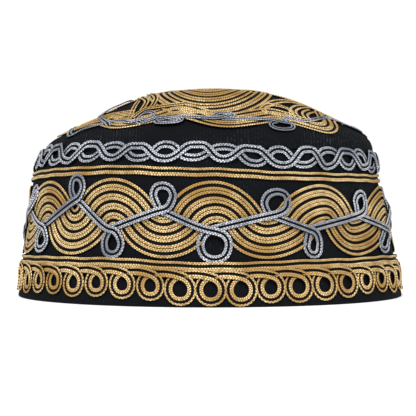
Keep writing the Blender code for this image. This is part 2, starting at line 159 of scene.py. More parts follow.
def cloth(angle, s):
    """Points on the cloth's outer face, for arrays of angles and of distances up the cloth."""
    turn = angle - EVENING * np.sin(2 * angle)
    across, along = np.sin(turn), np.cos(turn)
    wall_out = RIM_HALF_LENGTH - s * math.sin(LEAN)
    share = np.clip((s - WALL_LENGTH) / CROWN_LENGTH, 0, 1)
    on_wall = s <= WALL_LENGTH
    out = np.where(on_wall, wall_out, curved(FOLDS, "share", "side_out", share) * MM)
    depth = np.where(on_wall, OVAL * wall_out, curved(FOLDS, "share", "front_out", share) * MM)
    side = curved(FOLDS, "share", "side_height", share) * MM
    front = curved(FOLDS, "share", "front_height", share) * MM
    height = np.where(on_wall, s * math.cos(LEAN), side * across**2 + front * along**2)
    sway = eased(SWAYS, "height", "shift", height / MM) * MM
    bulge = eased(BULGES, "height", "out", height / MM) * MM
    return np.stack([(out + bulge) * across + sway, -(depth + bulge) * along, height], axis=-1)


print("cloth from rim to top in mm:", round(CLOTH_LENGTH / MM, 1))

# %% [markdown]
# Patterns are drawn flat, in millimetres, as a tailor draws them on paper, and then wrapped on. The band's
# paper is a strip, x round the cap and y up the cloth. The crown's paper is a round sheet with its middle
# at the top and the front at -y. The braid was laid by hand, so a table says how far its lines stray from
# an even course across the front. The band's paper is stretched by it, and the crown's waves are drawn with
# it. Flat paper is chosen because a wave or a loop is easy to draw there and hard to draw in space.

# %% Paper patterns wrapped on the cloth
BAND_SCALE = 85.0
RIM_SCALE = 90.0
PLAIT_SCALE = 79.7
RIM_LINE_RISE = 18.1
TOP_LINE_RISE = 58.6
CLOTH_MM = CLOTH_LENGTH / MM

Stray = namedtuple("Stray", "angle_deg low high crown")
STRAYS = (
    Stray(-180, 0.0, 0.0, 0.0),
    Stray(-90, 0.0, 0.0, 0.0),
    Stray(-60, 0.6, 1.0, 1.0),
    Stray(-32, 0.9, 1.4, -1.9),
    Stray(2, -1.0, -0.2, -0.3),
    Stray(28, 0.0, -1.6, 1.3),
    Stray(42, 0.3, -1.5, 2.0),
    Stray(60, 0.6, -1.4, -4.5),
    Stray(90, 0.0, 0.0, 0.0),
    Stray(180, 0.0, 0.0, 0.0),
)


def signed_degrees(angle):
    return np.degrees((angle + math.pi) % (2 * math.pi) - math.pi)


def off_paper(face, x, y, lift):
    """Points at a lift above a wrapped paper, along the cloth's own normal."""
    step = 0.05
    here = face(x, y)
    normal = np.cross(face(x + step, y) - face(x - step, y), face(x, y + step) - face(x, y - step))
    normal /= np.linalg.norm(normal, axis=-1, keepdims=True)
    return here + normal * (np.asarray(lift) * MM)[..., None]


def band_paper(scale):
    """The wrap for a strip of the band whose girth is that of a circle of the scale's radius."""

    def face(x, y):
        angle = x / scale
        degrees = signed_degrees(angle)
        share = np.clip((y - RIM_LINE_RISE) / (TOP_LINE_RISE - RIM_LINE_RISE), 0, 1)
        low, high = (eased(STRAYS, "angle_deg", column, degrees) for column in ("low", "high"))
        return cloth(angle, (y + low * (1 - share) + high * share) * MM)

    return lambda x, y, lift: off_paper(face, x, y, lift)


def crown_paper(x, y, lift):
    """The wrap for the crown's round sheet."""

    def face(flat_x, flat_y):
        return cloth(np.arctan2(flat_x, -flat_y), (CLOTH_MM - np.hypot(flat_x, flat_y)) * MM)

    return off_paper(face, x, y, lift)


def polar(angle, radius):
    """A place on the crown's sheet, at an angle from the front and a distance from the middle."""
    return radius * math.sin(angle), -radius * math.cos(angle)


print("girth on the band's paper in mm:", round(2 * math.pi * BAND_SCALE))

# %% [markdown]
# A soutache braid has a section like two low humps side by side. It is made from one grid whose rows run
# along the braid and whose columns go round the section, and bmesh merges the grid's edges where they meet.
# The UV map keeps the distance along the braid and the place across it, so that the threads of the material
# follow every bend. A curve object with a bevel could draw it too, but not press one rib thin and the other
# fat.
#
# Each rib is 0.41 of the braid's width in the UV map, and the groove the 0.18 between them, however the
# real widths are shared out: where a braid is bent tight, its outer rib goes thin and its inner one fat.

# %% Laying a braid
RIB_SHARE = 0.41
GROOVE_FLOOR = 0.1
STATION = 0.85
FEWEST_STATIONS = 4
CURVE_PARTS = 8
BRAID_MERGE = 1e-7
RibPoint = namedtuple("RibPoint", "across up")
RIB = (
    RibPoint(0.00, 0.00),
    RibPoint(0.04, 0.52),
    RibPoint(0.22, 0.90),
    RibPoint(0.50, 1.00),
    RibPoint(0.78, 0.90),
    RibPoint(0.96, 0.52),
    RibPoint(1.00, GROOVE_FLOOR),
)

Section = namedtuple("Section", "across up v")


def soutache(width, thickness, groove, shift=0.0):
    """The section of a braid in mm. A shift moves the groove off the middle."""
    half = width / 2
    ribs = ((-half, shift - groove / 2), (half, shift + groove / 2))
    across, up, v = [], [], []
    for side, (edge, inner) in enumerate(ribs):
        points = RIB if side == 0 else tuple(reversed(RIB))
        for point in points:
            across.append(edge + (inner - edge) * point.across)
            up.append(thickness * point.up)
            share = RIB_SHARE * point.across
            v.append(share if side == 0 else 1 - share)
    return Section(np.array(across), np.array(up), np.array(v))


def smoothed(points, closed=True, parts=CURVE_PARTS):
    """A smooth curve through (x, y, lift) points, as an array of points."""
    points = np.array(points, dtype=float)
    count = len(points)
    spans = count if closed else count - 1
    curve = []
    for i in range(spans):
        picks = [(i + k) % count if closed else min(max(i + k, 0), count - 1) for k in (-1, 0, 1, 2)]
        before, start, end, after = points[picks]
        t = np.linspace(0, 1, parts, endpoint=False)[:, None]
        curve.append(
            start
            + (end - before) * t / 2
            + (2 * before - 5 * start + 4 * end - after) * t**2 / 2
            + (3 * start - before - 3 * end + after) * t**3 / 2
        )
    if not closed:
        curve.append(points[-1:])
    return np.concatenate(curve)


def lapped(path, lap):
    """A closed path with its first point again at the end, one lap further along x."""
    again = path[0].copy()
    again[0] += lap
    return np.vstack([path, again])


def evened(path, lap=0.0, closed=True):
    """The same path with evenly spaced points, and its length.

    The lap is how far a closed path runs along x before it repeats.
    """
    path = np.asarray(path, dtype=float)
    if closed:
        path = lapped(path, lap)
    steps = np.linalg.norm(np.diff(path[:, :2], axis=0), axis=1)
    along = np.concatenate([[0], np.cumsum(steps)])
    count = max(FEWEST_STATIONS, round(along[-1] / STATION))
    at = np.linspace(0, along[-1], count + 1)
    even = np.stack([np.interp(at, along, column) for column in path.T], axis=1)
    return (even[:-1] if closed else even), along[-1]


def beside(path, distance, lap=0.0, closed=True):
    """Points of a path moved to its left by a distance, or a distance for each point."""
    spots = path[:, :2]
    if closed:
        before = np.vstack([spots[-1] - (lap, 0), spots[:-1]])
        after = np.vstack([spots[1:], spots[0] + (lap, 0)])
    else:
        before, after = np.vstack([spots[:1], spots[:-1]]), np.vstack([spots[1:], spots[-1:]])
    run = after - before
    run /= np.linalg.norm(run, axis=1, keepdims=True)
    moved = path.copy()
    moved[:, 0] -= run[:, 1] * distance
    moved[:, 1] += run[:, 0] * distance
    return moved


# The lengths of the braids laid since the last piece was finished.
laid_mm = []


def braid_mesh(bm, path, section, wrap, lap=0.0, closed=True):
    """Adds a braid along a path to a bmesh that has a UV layer named Braid.

    A path has the columns x, y and lift, and one more where a factor presses the braid wider or narrower.
    """
    path, length = evened(path, lap, closed)
    laid_mm.append(length)
    layer = bm.loops.layers.uv["Braid"]
    press = path[:, 3] if path.shape[1] > 3 else 1.0
    spots = np.stack([beside(path, across * press, lap, closed) for across in section.across], axis=1)
    places = wrap(spots[..., 0], spots[..., 1], spots[..., 2] + section.up)
    stations, corners = len(path), len(section.across)
    columns_along = stations if closed else stations - 1
    grid = bmesh.ops.create_grid(bm, x_segments=columns_along, y_segments=corners, size=1)
    at = {}
    for vert in grid["verts"]:
        station = round((vert.co.x + 1) / 2 * columns_along)
        corner = round((vert.co.y + 1) / 2 * corners)
        at[vert] = (station, corner)
        vert.co = places[station % stations, corner % corners]
    for face in {face for vert in grid["verts"] for face in vert.link_faces}:
        face.smooth = True
        for loop in face.loops:
            station, corner = at[loop.vert]
            loop[layer].uv = (station / columns_along * length * MM, section.v[min(corner, corners - 1)])
    bmesh.ops.remove_doubles(bm, verts=grid["verts"], dist=BRAID_MERGE)
    if not closed:
        bmesh.ops.holes_fill(bm, edges=[edge for edge in bm.edges if edge.is_boundary])


def new_braid_bmesh():
    bm = bmesh.new()
    bm.loops.layers.uv.new("Braid")
    return bm


def add_piece(name, bm, node, finish):
    """Makes an object of a bmesh, in the place of a CAD node."""
    bmesh.ops.recalc_face_normals(bm, faces=bm.faces)
    mesh = bpy.data.meshes.new(name)
    bm.to_mesh(mesh)
    bm.free()
    mesh.materials.append(finish)
    piece = bpy.data.objects.new(name, mesh)
    bpy.context.scene.collection.objects.link(piece)
    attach(piece, "root")
    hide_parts(node)
    print(name, len(mesh.polygons), "faces", round(sum(laid_mm)), "mm of braid")
    laid_mm.clear()


print("a braid's section has", 2 * len(RIB), "points, and a station every", STATION, "mm")

# %% [markdown]
# The threads of the braid are one node group that both colours share. It reads the UV map: along the braid
# the stitches follow one another every 1.25 mm, across each rib there are two rows of them that lean
# opposite ways, as in a plaited cord, and the groove and the ribs' outer edges are painted near black: the
# dark core, with painted shade in the deep groove and at the braid's sides. It gives a colour with painted
# shade and painted highlights, a height for the bump and a roughness. Stitches made of mesh would be true at
# any distance, but there are far too many of them.

# %% Node helpers
def node(tree, kind, **settings):
    made = tree.nodes.new(kind)
    for key, value in settings.items():
        setattr(made, key, value)
    return made


def feed(tree, value, socket):
    """Links an output socket to an input, or sets the input to a plain value."""
    if isinstance(value, bpy.types.NodeSocket):
        tree.links.new(value, socket)
    else:
        socket.default_value = value


def maths(tree, operation, *values, clamp=False):
    made = node(tree, "ShaderNodeMath", operation=operation, use_clamp=clamp)
    for value, socket in zip(values, made.inputs):
        feed(tree, value, socket)
    return made.outputs[0]


def mix_colour(tree, factor, first, second):
    made = node(tree, "ShaderNodeMix", data_type="RGBA")
    feed(tree, factor, made.inputs[0])
    feed(tree, first, made.inputs[6])
    feed(tree, second, made.inputs[7])
    return made.outputs[2]


def ramp(tree, value, low, high):
    """0 below low, 1 above high and smooth between."""
    made = node(tree, "ShaderNodeMapRange", interpolation_type="SMOOTHSTEP")
    feed(tree, value, made.inputs["Value"])
    made.inputs["From Min"].default_value = low
    made.inputs["From Max"].default_value = high
    return made.outputs["Result"]


def new_group(name, inputs, outputs):
    """A node group with named sockets. Inputs are (name, kind, default), outputs are (name, kind)."""
    group = bpy.data.node_groups.new(name, "ShaderNodeTree")
    for label, kind, default in inputs:
        socket = group.interface.new_socket(label, in_out="INPUT", socket_type=kind)
        if default is not None:
            socket.default_value = default
    for label, kind in outputs:
        group.interface.new_socket(label, in_out="OUTPUT", socket_type=kind)
    return group, group.nodes.new("NodeGroupInput").outputs, group.nodes.new("NodeGroupOutput").inputs


def noise(tree, vector, scale, detail):
    made = node(tree, "ShaderNodeTexNoise")
    feed(tree, vector, made.inputs["Vector"])
    made.inputs["Scale"].default_value = scale
    made.inputs["Detail"].default_value = detail
    return made.outputs["Fac"]


HELPERS = (node, feed, maths, mix_colour, ramp, new_group, noise)
print("shader helpers:", [helper.__name__ for helper in HELPERS])

# %% [markdown]
# Each stitch is a small round hump, found from how far a point is from the stitch's middle along the braid
# and across it. Its colour has painted shade between the stitches and a painted highlight on their tops.
# Three noises make the thread uneven: a broad one breaks the painted highlight and the shine into patches,
# a middle one shifts the tone at random, and a fine one breaks up the painted highlights.

# %% The threads of a braid
STITCH_LENGTH = 1.25 * MM
STITCH_LEAN = 0.32
STITCH_NARROWING = 1.5
# Painted shade on the outer edges of the ribs, across this share of each rib.
SHADED_SIDE_START = 0.03
SHADED_SIDE_END = 0.10
GROOVE_SOFTNESS = 0.055
HIGHLIGHT_PATCH_SCALE = 55.0
FINE_SCALE = 900.0
DRIFT_SCALE = 160.0
HIGHLIGHT_STITCH_RAMP = (0.55, 0.95)
HIGHLIGHT_PATCH_RAMP = (0.32, 0.62)
HIGHLIGHT_SPECKLE_RAMP = (0.25, 0.6)
SHADE_BETWEEN_STITCHES = (0.2, 0.78)
DARKEST_SHADE = 0.74
SHADE_RANGE = 0.52
THREAD_ROUGHNESS = 0.72
SHINE = 0.28


def braided_threads():
    tree, given, gives = new_group(
        "Braided threads",
        [
            ("Braid UV", "NodeSocketVector", None),
            ("Place", "NodeSocketVector", None),
            ("Thread", "NodeSocketColor", (0.5, 0.5, 0.5, 1)),
            ("Highlight", "NodeSocketColor", (0.8, 0.8, 0.8, 1)),
            ("Shadow", "NodeSocketColor", (0.2, 0.2, 0.2, 1)),
            ("Core and shade", "NodeSocketColor", (0.01, 0.01, 0.01, 1)),
        ],
        [("Color", "NodeSocketColor"), ("Height", "NodeSocketFloat"), ("Roughness", "NodeSocketFloat")],
    )
    split = node(tree, "ShaderNodeSeparateXYZ")
    tree.links.new(given["Braid UV"], split.inputs[0])
    along, across = split.outputs[0], split.outputs[1]
    from_middle = maths(tree, "ABSOLUTE", maths(tree, "SUBTRACT", across, 0.5))
    rib = maths(tree, "DIVIDE", maths(tree, "SUBTRACT", 0.5, from_middle), RIB_SHARE, clamp=True)
    rows = maths(tree, "MULTIPLY", rib, 2.0)
    row = maths(tree, "FLOOR", rows)
    in_row = maths(tree, "SUBTRACT", maths(tree, "FRACT", rows), 0.5)
    facing = maths(tree, "SUBTRACT", maths(tree, "MULTIPLY", row, 2.0), 1.0)
    lean = maths(tree, "MULTIPLY", maths(tree, "MULTIPLY", in_row, facing), STITCH_LEAN)
    pace = maths(tree, "DIVIDE", along, STITCH_LENGTH)
    phase = maths(tree, "ADD", maths(tree, "ADD", pace, maths(tree, "MULTIPLY", row, 0.5)), lean)
    in_stitch = maths(tree, "SUBTRACT", maths(tree, "FRACT", phase), 0.5)
    long_way = maths(tree, "POWER", maths(tree, "MULTIPLY", maths(tree, "ABSOLUTE", in_stitch), 2.0), 2.0)
    off_row = maths(tree, "MULTIPLY", maths(tree, "ABSOLUTE", in_row), STITCH_NARROWING)
    short_way = maths(tree, "POWER", off_row, 2.0)
    bulge = maths(tree, "SUBTRACT", 1.0, maths(tree, "ADD", long_way, short_way), clamp=True)
    bulge = maths(tree, "SQRT", bulge)
    highlight_patches = noise(tree, given["Place"], HIGHLIGHT_PATCH_SCALE, 3.0)
    fine = noise(tree, given["Place"], FINE_SCALE, 1.0)
    drift = noise(tree, given["Place"], DRIFT_SCALE, 2.0)
    # Painted highlight: the highlight colour is painted on the stitch tops in patches, and the roughness
    # drops there too.
    painted_highlight = maths(tree, "MULTIPLY", ramp(tree, bulge, *HIGHLIGHT_STITCH_RAMP), ramp(tree, highlight_patches, *HIGHLIGHT_PATCH_RAMP))
    painted_highlight = maths(tree, "MULTIPLY", painted_highlight, ramp(tree, fine, *HIGHLIGHT_SPECKLE_RAMP))
    # Painted shade: between the stitches the colour darkens to the shadow colour.
    colour = mix_colour(tree, ramp(tree, bulge, *SHADE_BETWEEN_STITCHES), given["Shadow"], given["Thread"])
    colour = mix_colour(tree, painted_highlight, colour, given["Highlight"])
    tint = node(tree, "ShaderNodeHueSaturation")
    shade = maths(tree, "ADD", DARKEST_SHADE, maths(tree, "MULTIPLY", drift, SHADE_RANGE))
    feed(tree, shade, tint.inputs["Value"])
    tree.links.new(colour, tint.inputs["Color"])
    # Painted shade over the dark core: the groove and the outer edges of both ribs take the near-black
    # colour.
    groove = ramp(tree, from_middle, 0.5 - RIB_SHARE, 0.5 - RIB_SHARE + GROOVE_SOFTNESS)
    groove = maths(tree, "MULTIPLY", groove, ramp(tree, rib, SHADED_SIDE_START, SHADED_SIDE_END))
    tree.links.new(mix_colour(tree, groove, given["Core and shade"], tint.outputs["Color"]), gives["Color"])
    tree.links.new(maths(tree, "MULTIPLY", bulge, groove), gives["Height"])
    rough = maths(tree, "SUBTRACT", THREAD_ROUGHNESS, maths(tree, "MULTIPLY", painted_highlight, SHINE))
    tree.links.new(rough, gives["Roughness"])
    return tree


THREADS = braided_threads()
print(THREADS.name, "has", len(THREADS.nodes), "nodes")

# %% [markdown]
# A finish is a Principled shader fed by the group. What is the same all over a braid, such as how much it
# mirrors, is set on the shader's own socket. The gold is a silk-like yarn; its warm brown is painted shade
# where it turns away, and its cream is a painted highlight where it catches the light. The silver one is
# cooler, and its painted highlights and shade have more contrast.

# %% Braid finishes
BRAID_BUMP = 0.8
BRAID_RELIEF = 0.25 * MM
BRAID_MIRROR = 0.12
# The dark core, darkened further as painted shade of the deep groove and the braid's sides.
CORE_AND_SHADE = (0.0016, 0.0020, 0.0026)


def plain_shader(name):
    made = bpy.data.materials.new(name)
    made.use_nodes = True
    return made, made.node_tree, made.node_tree.nodes["Principled BSDF"]


def braid_finish(name, thread, highlight, shadow):
    made, tree, shader = plain_shader(name)
    uv = node(tree, "ShaderNodeUVMap", uv_map="Braid")
    place = node(tree, "ShaderNodeTexCoord")
    threads = node(tree, "ShaderNodeGroup", node_tree=THREADS)
    tree.links.new(uv.outputs["UV"], threads.inputs["Braid UV"])
    tree.links.new(place.outputs["Object"], threads.inputs["Place"])
    for label, value in (("Thread", thread), ("Highlight", highlight), ("Shadow", shadow), ("Core and shade", CORE_AND_SHADE)):
        threads.inputs[label].default_value = (*value, 1)
    relief = node(tree, "ShaderNodeBump")
    relief.inputs["Strength"].default_value = BRAID_BUMP
    relief.inputs["Distance"].default_value = BRAID_RELIEF
    tree.links.new(threads.outputs["Height"], relief.inputs["Height"])
    tree.links.new(threads.outputs["Color"], shader.inputs["Base Color"])
    tree.links.new(threads.outputs["Roughness"], shader.inputs["Roughness"])
    tree.links.new(relief.outputs["Normal"], shader.inputs["Normal"])
    shader.inputs["Specular IOR Level"].default_value = BRAID_MIRROR
    return made


# The highlight and shadow colours given here are a painted highlight and painted shade.
gold = braid_finish("gold_braid", (0.44, 0.262, 0.078), (1.0, 0.79, 0.43), (0.06, 0.025, 0.007))
silver = braid_finish("silver_braid", (0.205, 0.22, 0.26), (0.78, 0.81, 0.87), (0.030, 0.034, 0.045))
print("braid finishes:", gold.name, "and", silver.name)

# %% [markdown]
# The cloth is a fine black rib, stiff on the band and soft on the crown. The ribs are 1.5 mm apart and
# stand upright on the band. The crown is cut from one flat piece, so its ribs all run from front to back.
# They are too fine to model, so a node group draws them, from the UV map on the band and from the object's
# own x on the crown. Pale flecks on the rib tops are dust and painted sheen; the crown's are paler than the
# band's, as painted sheen on cloth that faces up.

# %% Ribbed cloth
RIB_PITCH = 1.5 * MM
YARN_PITCH = 0.55 * MM
WAVER_SCALE = 120.0
WAVER = 0.5
FUZZ_SCALE = 700.0
PATCH_SCALE = 28.0
YARN_HEIGHT = 0.35
PALE_TOPS = (0.7, 1.3)
PALE_PATCH = (0.35, 0.7)
PALE_FUZZ = (0.4, 0.75)
CLOTH_ROUGHNESS = 0.95
CLOTH_SHINE = 0.1
CLOTH_BUMP = 0.5
CLOTH_RELIEF = 0.3 * MM
CLOTH_MIRROR = 0.08
YARN_COLOUR = (0.0040, 0.0048, 0.0062, 1)
# Dust and painted sheen on the rib tops; brighter on the crown, as painted sheen of cloth facing up.
CROWN_DUST_AND_SHEEN = (0.036, 0.042, 0.050, 1)
BAND_DUST_AND_SHEEN = (0.012, 0.014, 0.018, 1)


def ribbed_cloth():
    tree, given, gives = new_group(
        "Ribbed cloth",
        [
            ("Across", "NodeSocketFloat", 0.0),
            ("Along", "NodeSocketFloat", 0.0),
            ("Place", "NodeSocketVector", None),
            ("Yarn", "NodeSocketColor", (0.02, 0.02, 0.02, 1)),
            ("Dust and sheen", "NodeSocketColor", (0.05, 0.05, 0.05, 1)),
        ],
        [("Color", "NodeSocketColor"), ("Height", "NodeSocketFloat"), ("Roughness", "NodeSocketFloat")],
    )
    waver = maths(tree, "MULTIPLY", noise(tree, given["Place"], WAVER_SCALE, 2.0), WAVER)
    across = maths(tree, "ADD", maths(tree, "DIVIDE", given["Across"], RIB_PITCH), waver)
    along = maths(tree, "DIVIDE", given["Along"], YARN_PITCH)
    rib = maths(tree, "ABSOLUTE", maths(tree, "SINE", maths(tree, "MULTIPLY", across, math.pi)))
    stagger = maths(tree, "MULTIPLY", maths(tree, "FLOOR", across), 0.5)
    turn = maths(tree, "MULTIPLY", maths(tree, "ADD", along, stagger), math.pi)
    yarn = maths(tree, "ABSOLUTE", maths(tree, "SINE", turn))
    height = maths(tree, "ADD", rib, maths(tree, "MULTIPLY", yarn, YARN_HEIGHT))
    fuzz = noise(tree, given["Place"], FUZZ_SCALE, 2.0)
    patch = noise(tree, given["Place"], PATCH_SCALE, 3.0)
    # Pale dust and painted sheen on the rib tops, in patches.
    dust_and_sheen = maths(tree, "MULTIPLY", ramp(tree, height, *PALE_TOPS), ramp(tree, patch, *PALE_PATCH))
    dust_and_sheen = maths(tree, "MULTIPLY", dust_and_sheen, ramp(tree, fuzz, *PALE_FUZZ))
    tree.links.new(mix_colour(tree, dust_and_sheen, given["Yarn"], given["Dust and sheen"]), gives["Color"])
    tree.links.new(height, gives["Height"])
    rough = maths(tree, "SUBTRACT", CLOTH_ROUGHNESS, maths(tree, "MULTIPLY", dust_and_sheen, CLOTH_SHINE))
    tree.links.new(rough, gives["Roughness"])
    return tree


CLOTH_WEAVE = ribbed_cloth()


def cloth_finish(name, flat_cut):
    """Ribbed cloth whose ribs follow the UV map, or the object's own x where it was cut flat."""
    made, tree, shader = plain_shader(name)
    place = node(tree, "ShaderNodeTexCoord")
    split = node(tree, "ShaderNodeSeparateXYZ")
    if flat_cut:
        tree.links.new(place.outputs["Object"], split.inputs[0])
    else:
        tree.links.new(node(tree, "ShaderNodeUVMap", uv_map="Braid").outputs["UV"], split.inputs[0])
    weave = node(tree, "ShaderNodeGroup", node_tree=CLOTH_WEAVE)
    tree.links.new(split.outputs[0], weave.inputs["Across"])
    tree.links.new(split.outputs[1], weave.inputs["Along"])
    tree.links.new(place.outputs["Object"], weave.inputs["Place"])
    weave.inputs["Yarn"].default_value = YARN_COLOUR
    weave.inputs["Dust and sheen"].default_value = CROWN_DUST_AND_SHEEN if flat_cut else BAND_DUST_AND_SHEEN
    relief = node(tree, "ShaderNodeBump")
    relief.inputs["Strength"].default_value = CLOTH_BUMP
    relief.inputs["Distance"].default_value = CLOTH_RELIEF
    tree.links.new(weave.outputs["Height"], relief.inputs["Height"])
    tree.links.new(weave.outputs["Color"], shader.inputs["Base Color"])
    tree.links.new(weave.outputs["Roughness"], shader.inputs["Roughness"])
    tree.links.new(relief.outputs["Normal"], shader.inputs["Normal"])
    shader.inputs["Specular IOR Level"].default_value = CLOTH_MIRROR
    return made


band_cloth_finish = cloth_finish("band_cloth", flat_cut=False)
crown_cloth_finish = cloth_finish("crown_cloth", flat_cut=True)
print("cloth finishes:", band_cloth_finish.name, "and", crown_cloth_finish.name)

# %% [markdown]
# Band and crown are walls of cloth with a rounded edge. Each is a grid bent round the cap: its columns go
# up the outside, over the edge and down the inside. A Solidify modifier would do it with less code, but
# leave the edge square. The faces are small enough to follow the soft shoulder, and the outer face dips in
# by a fraction of a millimetre, as cloth does between rows of sewing. It never swells outwards, so the
# braid never sinks into the cloth.

# %% The cloth pieces
CLOTH_STATIONS = 288
EDGE_STEPS = 5
SEAM_GAP = 0.3
BAND_ROWS = 40
CROWN_ROWS = 46
PUCKER = 0.25
PUCKERS_ROUND = 23
PUCKERS_UP = 0.31
CLOTH_MERGE = 1e-6


def pucker(angle, s):
    """How far the cloth dips between the rows of sewing."""
    across = np.sin(angle * PUCKERS_ROUND + 2 * np.sin(angle * 7))
    up = np.sin(s * PUCKERS_UP + 1.3 * np.sin(angle * 5))
    return -PUCKER * (0.5 + 0.5 * (across * up))


def wall_section(high, thickness, rows):
    """Columns (s, lift, dips) of a wall of cloth that stands on its folded hem."""
    half = thickness / 2
    foot = half * (1 + math.sin(LEAN)) / math.cos(LEAN)
    outer = [(s, 0.0, 1.0) for s in np.linspace(foot, high - half, rows)]
    turns = np.linspace(0, math.pi, EDGE_STEPS + 2)[1:-1]
    upper = [(high - half + half * math.sin(turn), -half + half * math.cos(turn), 0.0) for turn in turns]
    inner = [(s, -thickness, 0.0) for s in np.linspace(high - half, foot, rows // 2)]
    hem = [(foot - half * math.sin(turn), -half - half * math.cos(turn), 0.0) for turn in turns]
    return np.array(outer + upper + inner + hem)


def add_cloth(name, section, node_name, finish):
    bm = new_braid_bmesh()
    layer = bm.loops.layers.uv["Braid"]
    corners = len(section)
    turn = np.linspace(0, 2 * math.pi, CLOTH_STATIONS, endpoint=False)
    x = (turn * BAND_SCALE)[:, None] * np.ones(corners)
    s = np.ones((CLOTH_STATIONS, 1)) * section[:, 0]
    dips = pucker(x / BAND_SCALE, s) * section[:, 2]

    def face(flat_x, flat_s):
        return cloth(flat_x / BAND_SCALE, flat_s * MM)

    places = off_paper(face, x, s, section[:, 1] + dips)
    bmesh.ops.create_grid(bm, x_segments=CLOTH_STATIONS, y_segments=corners, size=1)
    at = {}
    for vert in bm.verts:
        station = round((vert.co.x + 1) / 2 * CLOTH_STATIONS)
        corner = round((vert.co.y + 1) / 2 * corners)
        at[vert] = (station, corner)
        vert.co = places[station % CLOTH_STATIONS, corner % corners]
    for face_made in bm.faces:
        face_made.smooth = True
        for loop in face_made.loops:
            station, corner = at[loop.vert]
            girth = 2 * math.pi * BAND_SCALE * MM * station / CLOTH_STATIONS
            loop[layer].uv = (girth, section[corner % corners, 0] * MM)
    bmesh.ops.remove_doubles(bm, verts=bm.verts, dist=CLOTH_MERGE)
    add_piece(name, bm, node_name, finish)


band_section = wall_section(WALL_LENGTH / MM - SEAM_GAP, BAND_THICKNESS / MM, BAND_ROWS)
add_cloth("band_of_cloth", band_section, "side_band", band_cloth_finish)

# %% [markdown]
# The crown's grid closes at the top in a pole on the outside and another on the inside. The inner side is
# the same cloth seen from below. The rows stop a millimetre short of the pole, so that its triangles aren't
# slivers.

# %% The crown's cloth
POLE_GAP = 1.0


def crown_section():
    thickness = CROWN_THICKNESS / MM
    low, high = WALL_LENGTH / MM, CLOTH_MM
    half = thickness / 2
    outer = [(s, 0.0, 1.0) for s in np.linspace(low + half, high - POLE_GAP, CROWN_ROWS)]
    top = [(high, 0.0, 0.0), (high, -thickness, 0.0)]
    inner = [(s, -thickness, 0.0) for s in np.linspace(high - POLE_GAP, low + half, CROWN_ROWS // 2)]
    turns = np.linspace(0, math.pi, EDGE_STEPS + 2)[1:-1]
    lower = [(low + half - half * math.sin(turn), -half - half * math.cos(turn), 0.0) for turn in turns]
    return np.array(outer + top + inner + lower)


add_cloth("crown_of_cloth", crown_section(), "crown", crown_cloth_finish)

# %% [markdown]
# The gold loops at the rim are one braid that runs along under the line, turns clockwise round a ring,
# slips behind itself and goes on to the next. Where it turns so tight, the outer rib lies thin and the
# inner one fat, so the section's groove is shifted outwards. Separate rings would be simpler, but the eye
# would miss the thread that leads from each one to the next.

# %% Rim loops
RIM_LOOPS = 44
LOOP_RISE = 8.5
ON_CLOTH = 0.2
ONE_BRAID = 1.0
RIM_BRAID = soutache(width=3.9, thickness=1.0, groove=0.95, shift=0.45)
LOOP_LOW = ON_CLOTH
LOOP_HIGH = ON_CLOTH + ONE_BRAID
LOOP_PATH = (
    (-8.4, 6.3, LOOP_LOW + 0.35),
    (-5.0, 6.3, LOOP_HIGH),
    (-1.4, 5.8, LOOP_HIGH),
    (2.5, 4.5, LOOP_HIGH),
    (4.7, 1.8, 0.8 * LOOP_HIGH),
    (4.9, -1.4, 0.5 * LOOP_HIGH),
    (3.4, -4.0, LOOP_LOW),
    (0.5, -5.1, LOOP_LOW),
    (-2.6, -4.4, LOOP_LOW),
    (-4.5, -1.8, LOOP_LOW),
    (-4.6, 1.2, LOOP_LOW),
    (-3.1, 3.9, LOOP_LOW),
    (-0.2, 5.7, LOOP_LOW),
)
LoopSize = namedtuple("LoopSize", "angle_deg size")
LOOP_SIZES = (
    LoopSize(-180, 0.96),
    LoopSize(-60, 0.90),
    LoopSize(-25, 0.93),
    LoopSize(0, 1.0),
    LoopSize(32, 0.98),
    LoopSize(50, 0.88),
    LoopSize(180, 0.96),
)
LOOP_VARIETY = 0.04


def rim_motifs(girth):
    """All rim loops' points in order, each loop drawn to its own size from the height of its top."""
    pitch = girth / RIM_LOOPS
    top = LOOP_PATH[0][1]
    points = []
    for k in range(RIM_LOOPS):
        degrees = signed_degrees(np.array(k * pitch / RIM_SCALE))
        size = float(eased(LOOP_SIZES, "angle_deg", "size", degrees)) + LOOP_VARIETY * math.sin(k * k)
        points += [
            (k * pitch + size * x, LOOP_RISE + top + size * (y - top), lift) for x, y, lift in LOOP_PATH
        ]
    return points


def smoothed_lap(points, girth, lead):
    """A smooth curve through points that go once round a strip of that girth.

    It is led in and out by lead more points, so that the two ends meet smoothly.
    """
    before = [(x - girth, y, lift) for x, y, lift in points[-lead:]]
    after = [(x + girth, y, lift) for x, y, lift in points[:lead]]
    return smoothed(before + points + after)[lead * CURVE_PARTS : -lead * CURVE_PARTS]


def add_rim_loops():
    girth = 2 * math.pi * RIM_SCALE
    path = smoothed_lap(rim_motifs(girth), girth, len(LOOP_PATH))
    bm = new_braid_bmesh()
    braid_mesh(bm, path, RIM_BRAID, band_paper(RIM_SCALE), lap=girth)
    add_piece("rim_loops_braid", bm, "rim_loops", gold)


add_rim_loops()

# %% [markdown]
# Two single braids run straight round: one above the rim loops and one under the seam. A line laid by hand
# is never quite straight, so two low ripples move each one up and down by at most a quarter of a
# millimetre.

# %% Straight lines of braid
LINE_BRAID = soutache(width=4.1, thickness=1.0, groove=1.05, shift=0.25)
LINE_STATIONS = 1200
RIM_LINE_LIFT = ON_CLOTH + 0.45
Ripple = namedtuple("Ripple", "size waves start")
LINE_RIPPLES = (Ripple(0.12, 31, 0), Ripple(0.1, 13, 1))


def rippled(ripple, turn, side=1):
    """A slow wander round the cap, as a line laid by hand has. Its start differs with the side."""
    return ripple.size * np.sin(ripple.waves * turn + ripple.start * side)


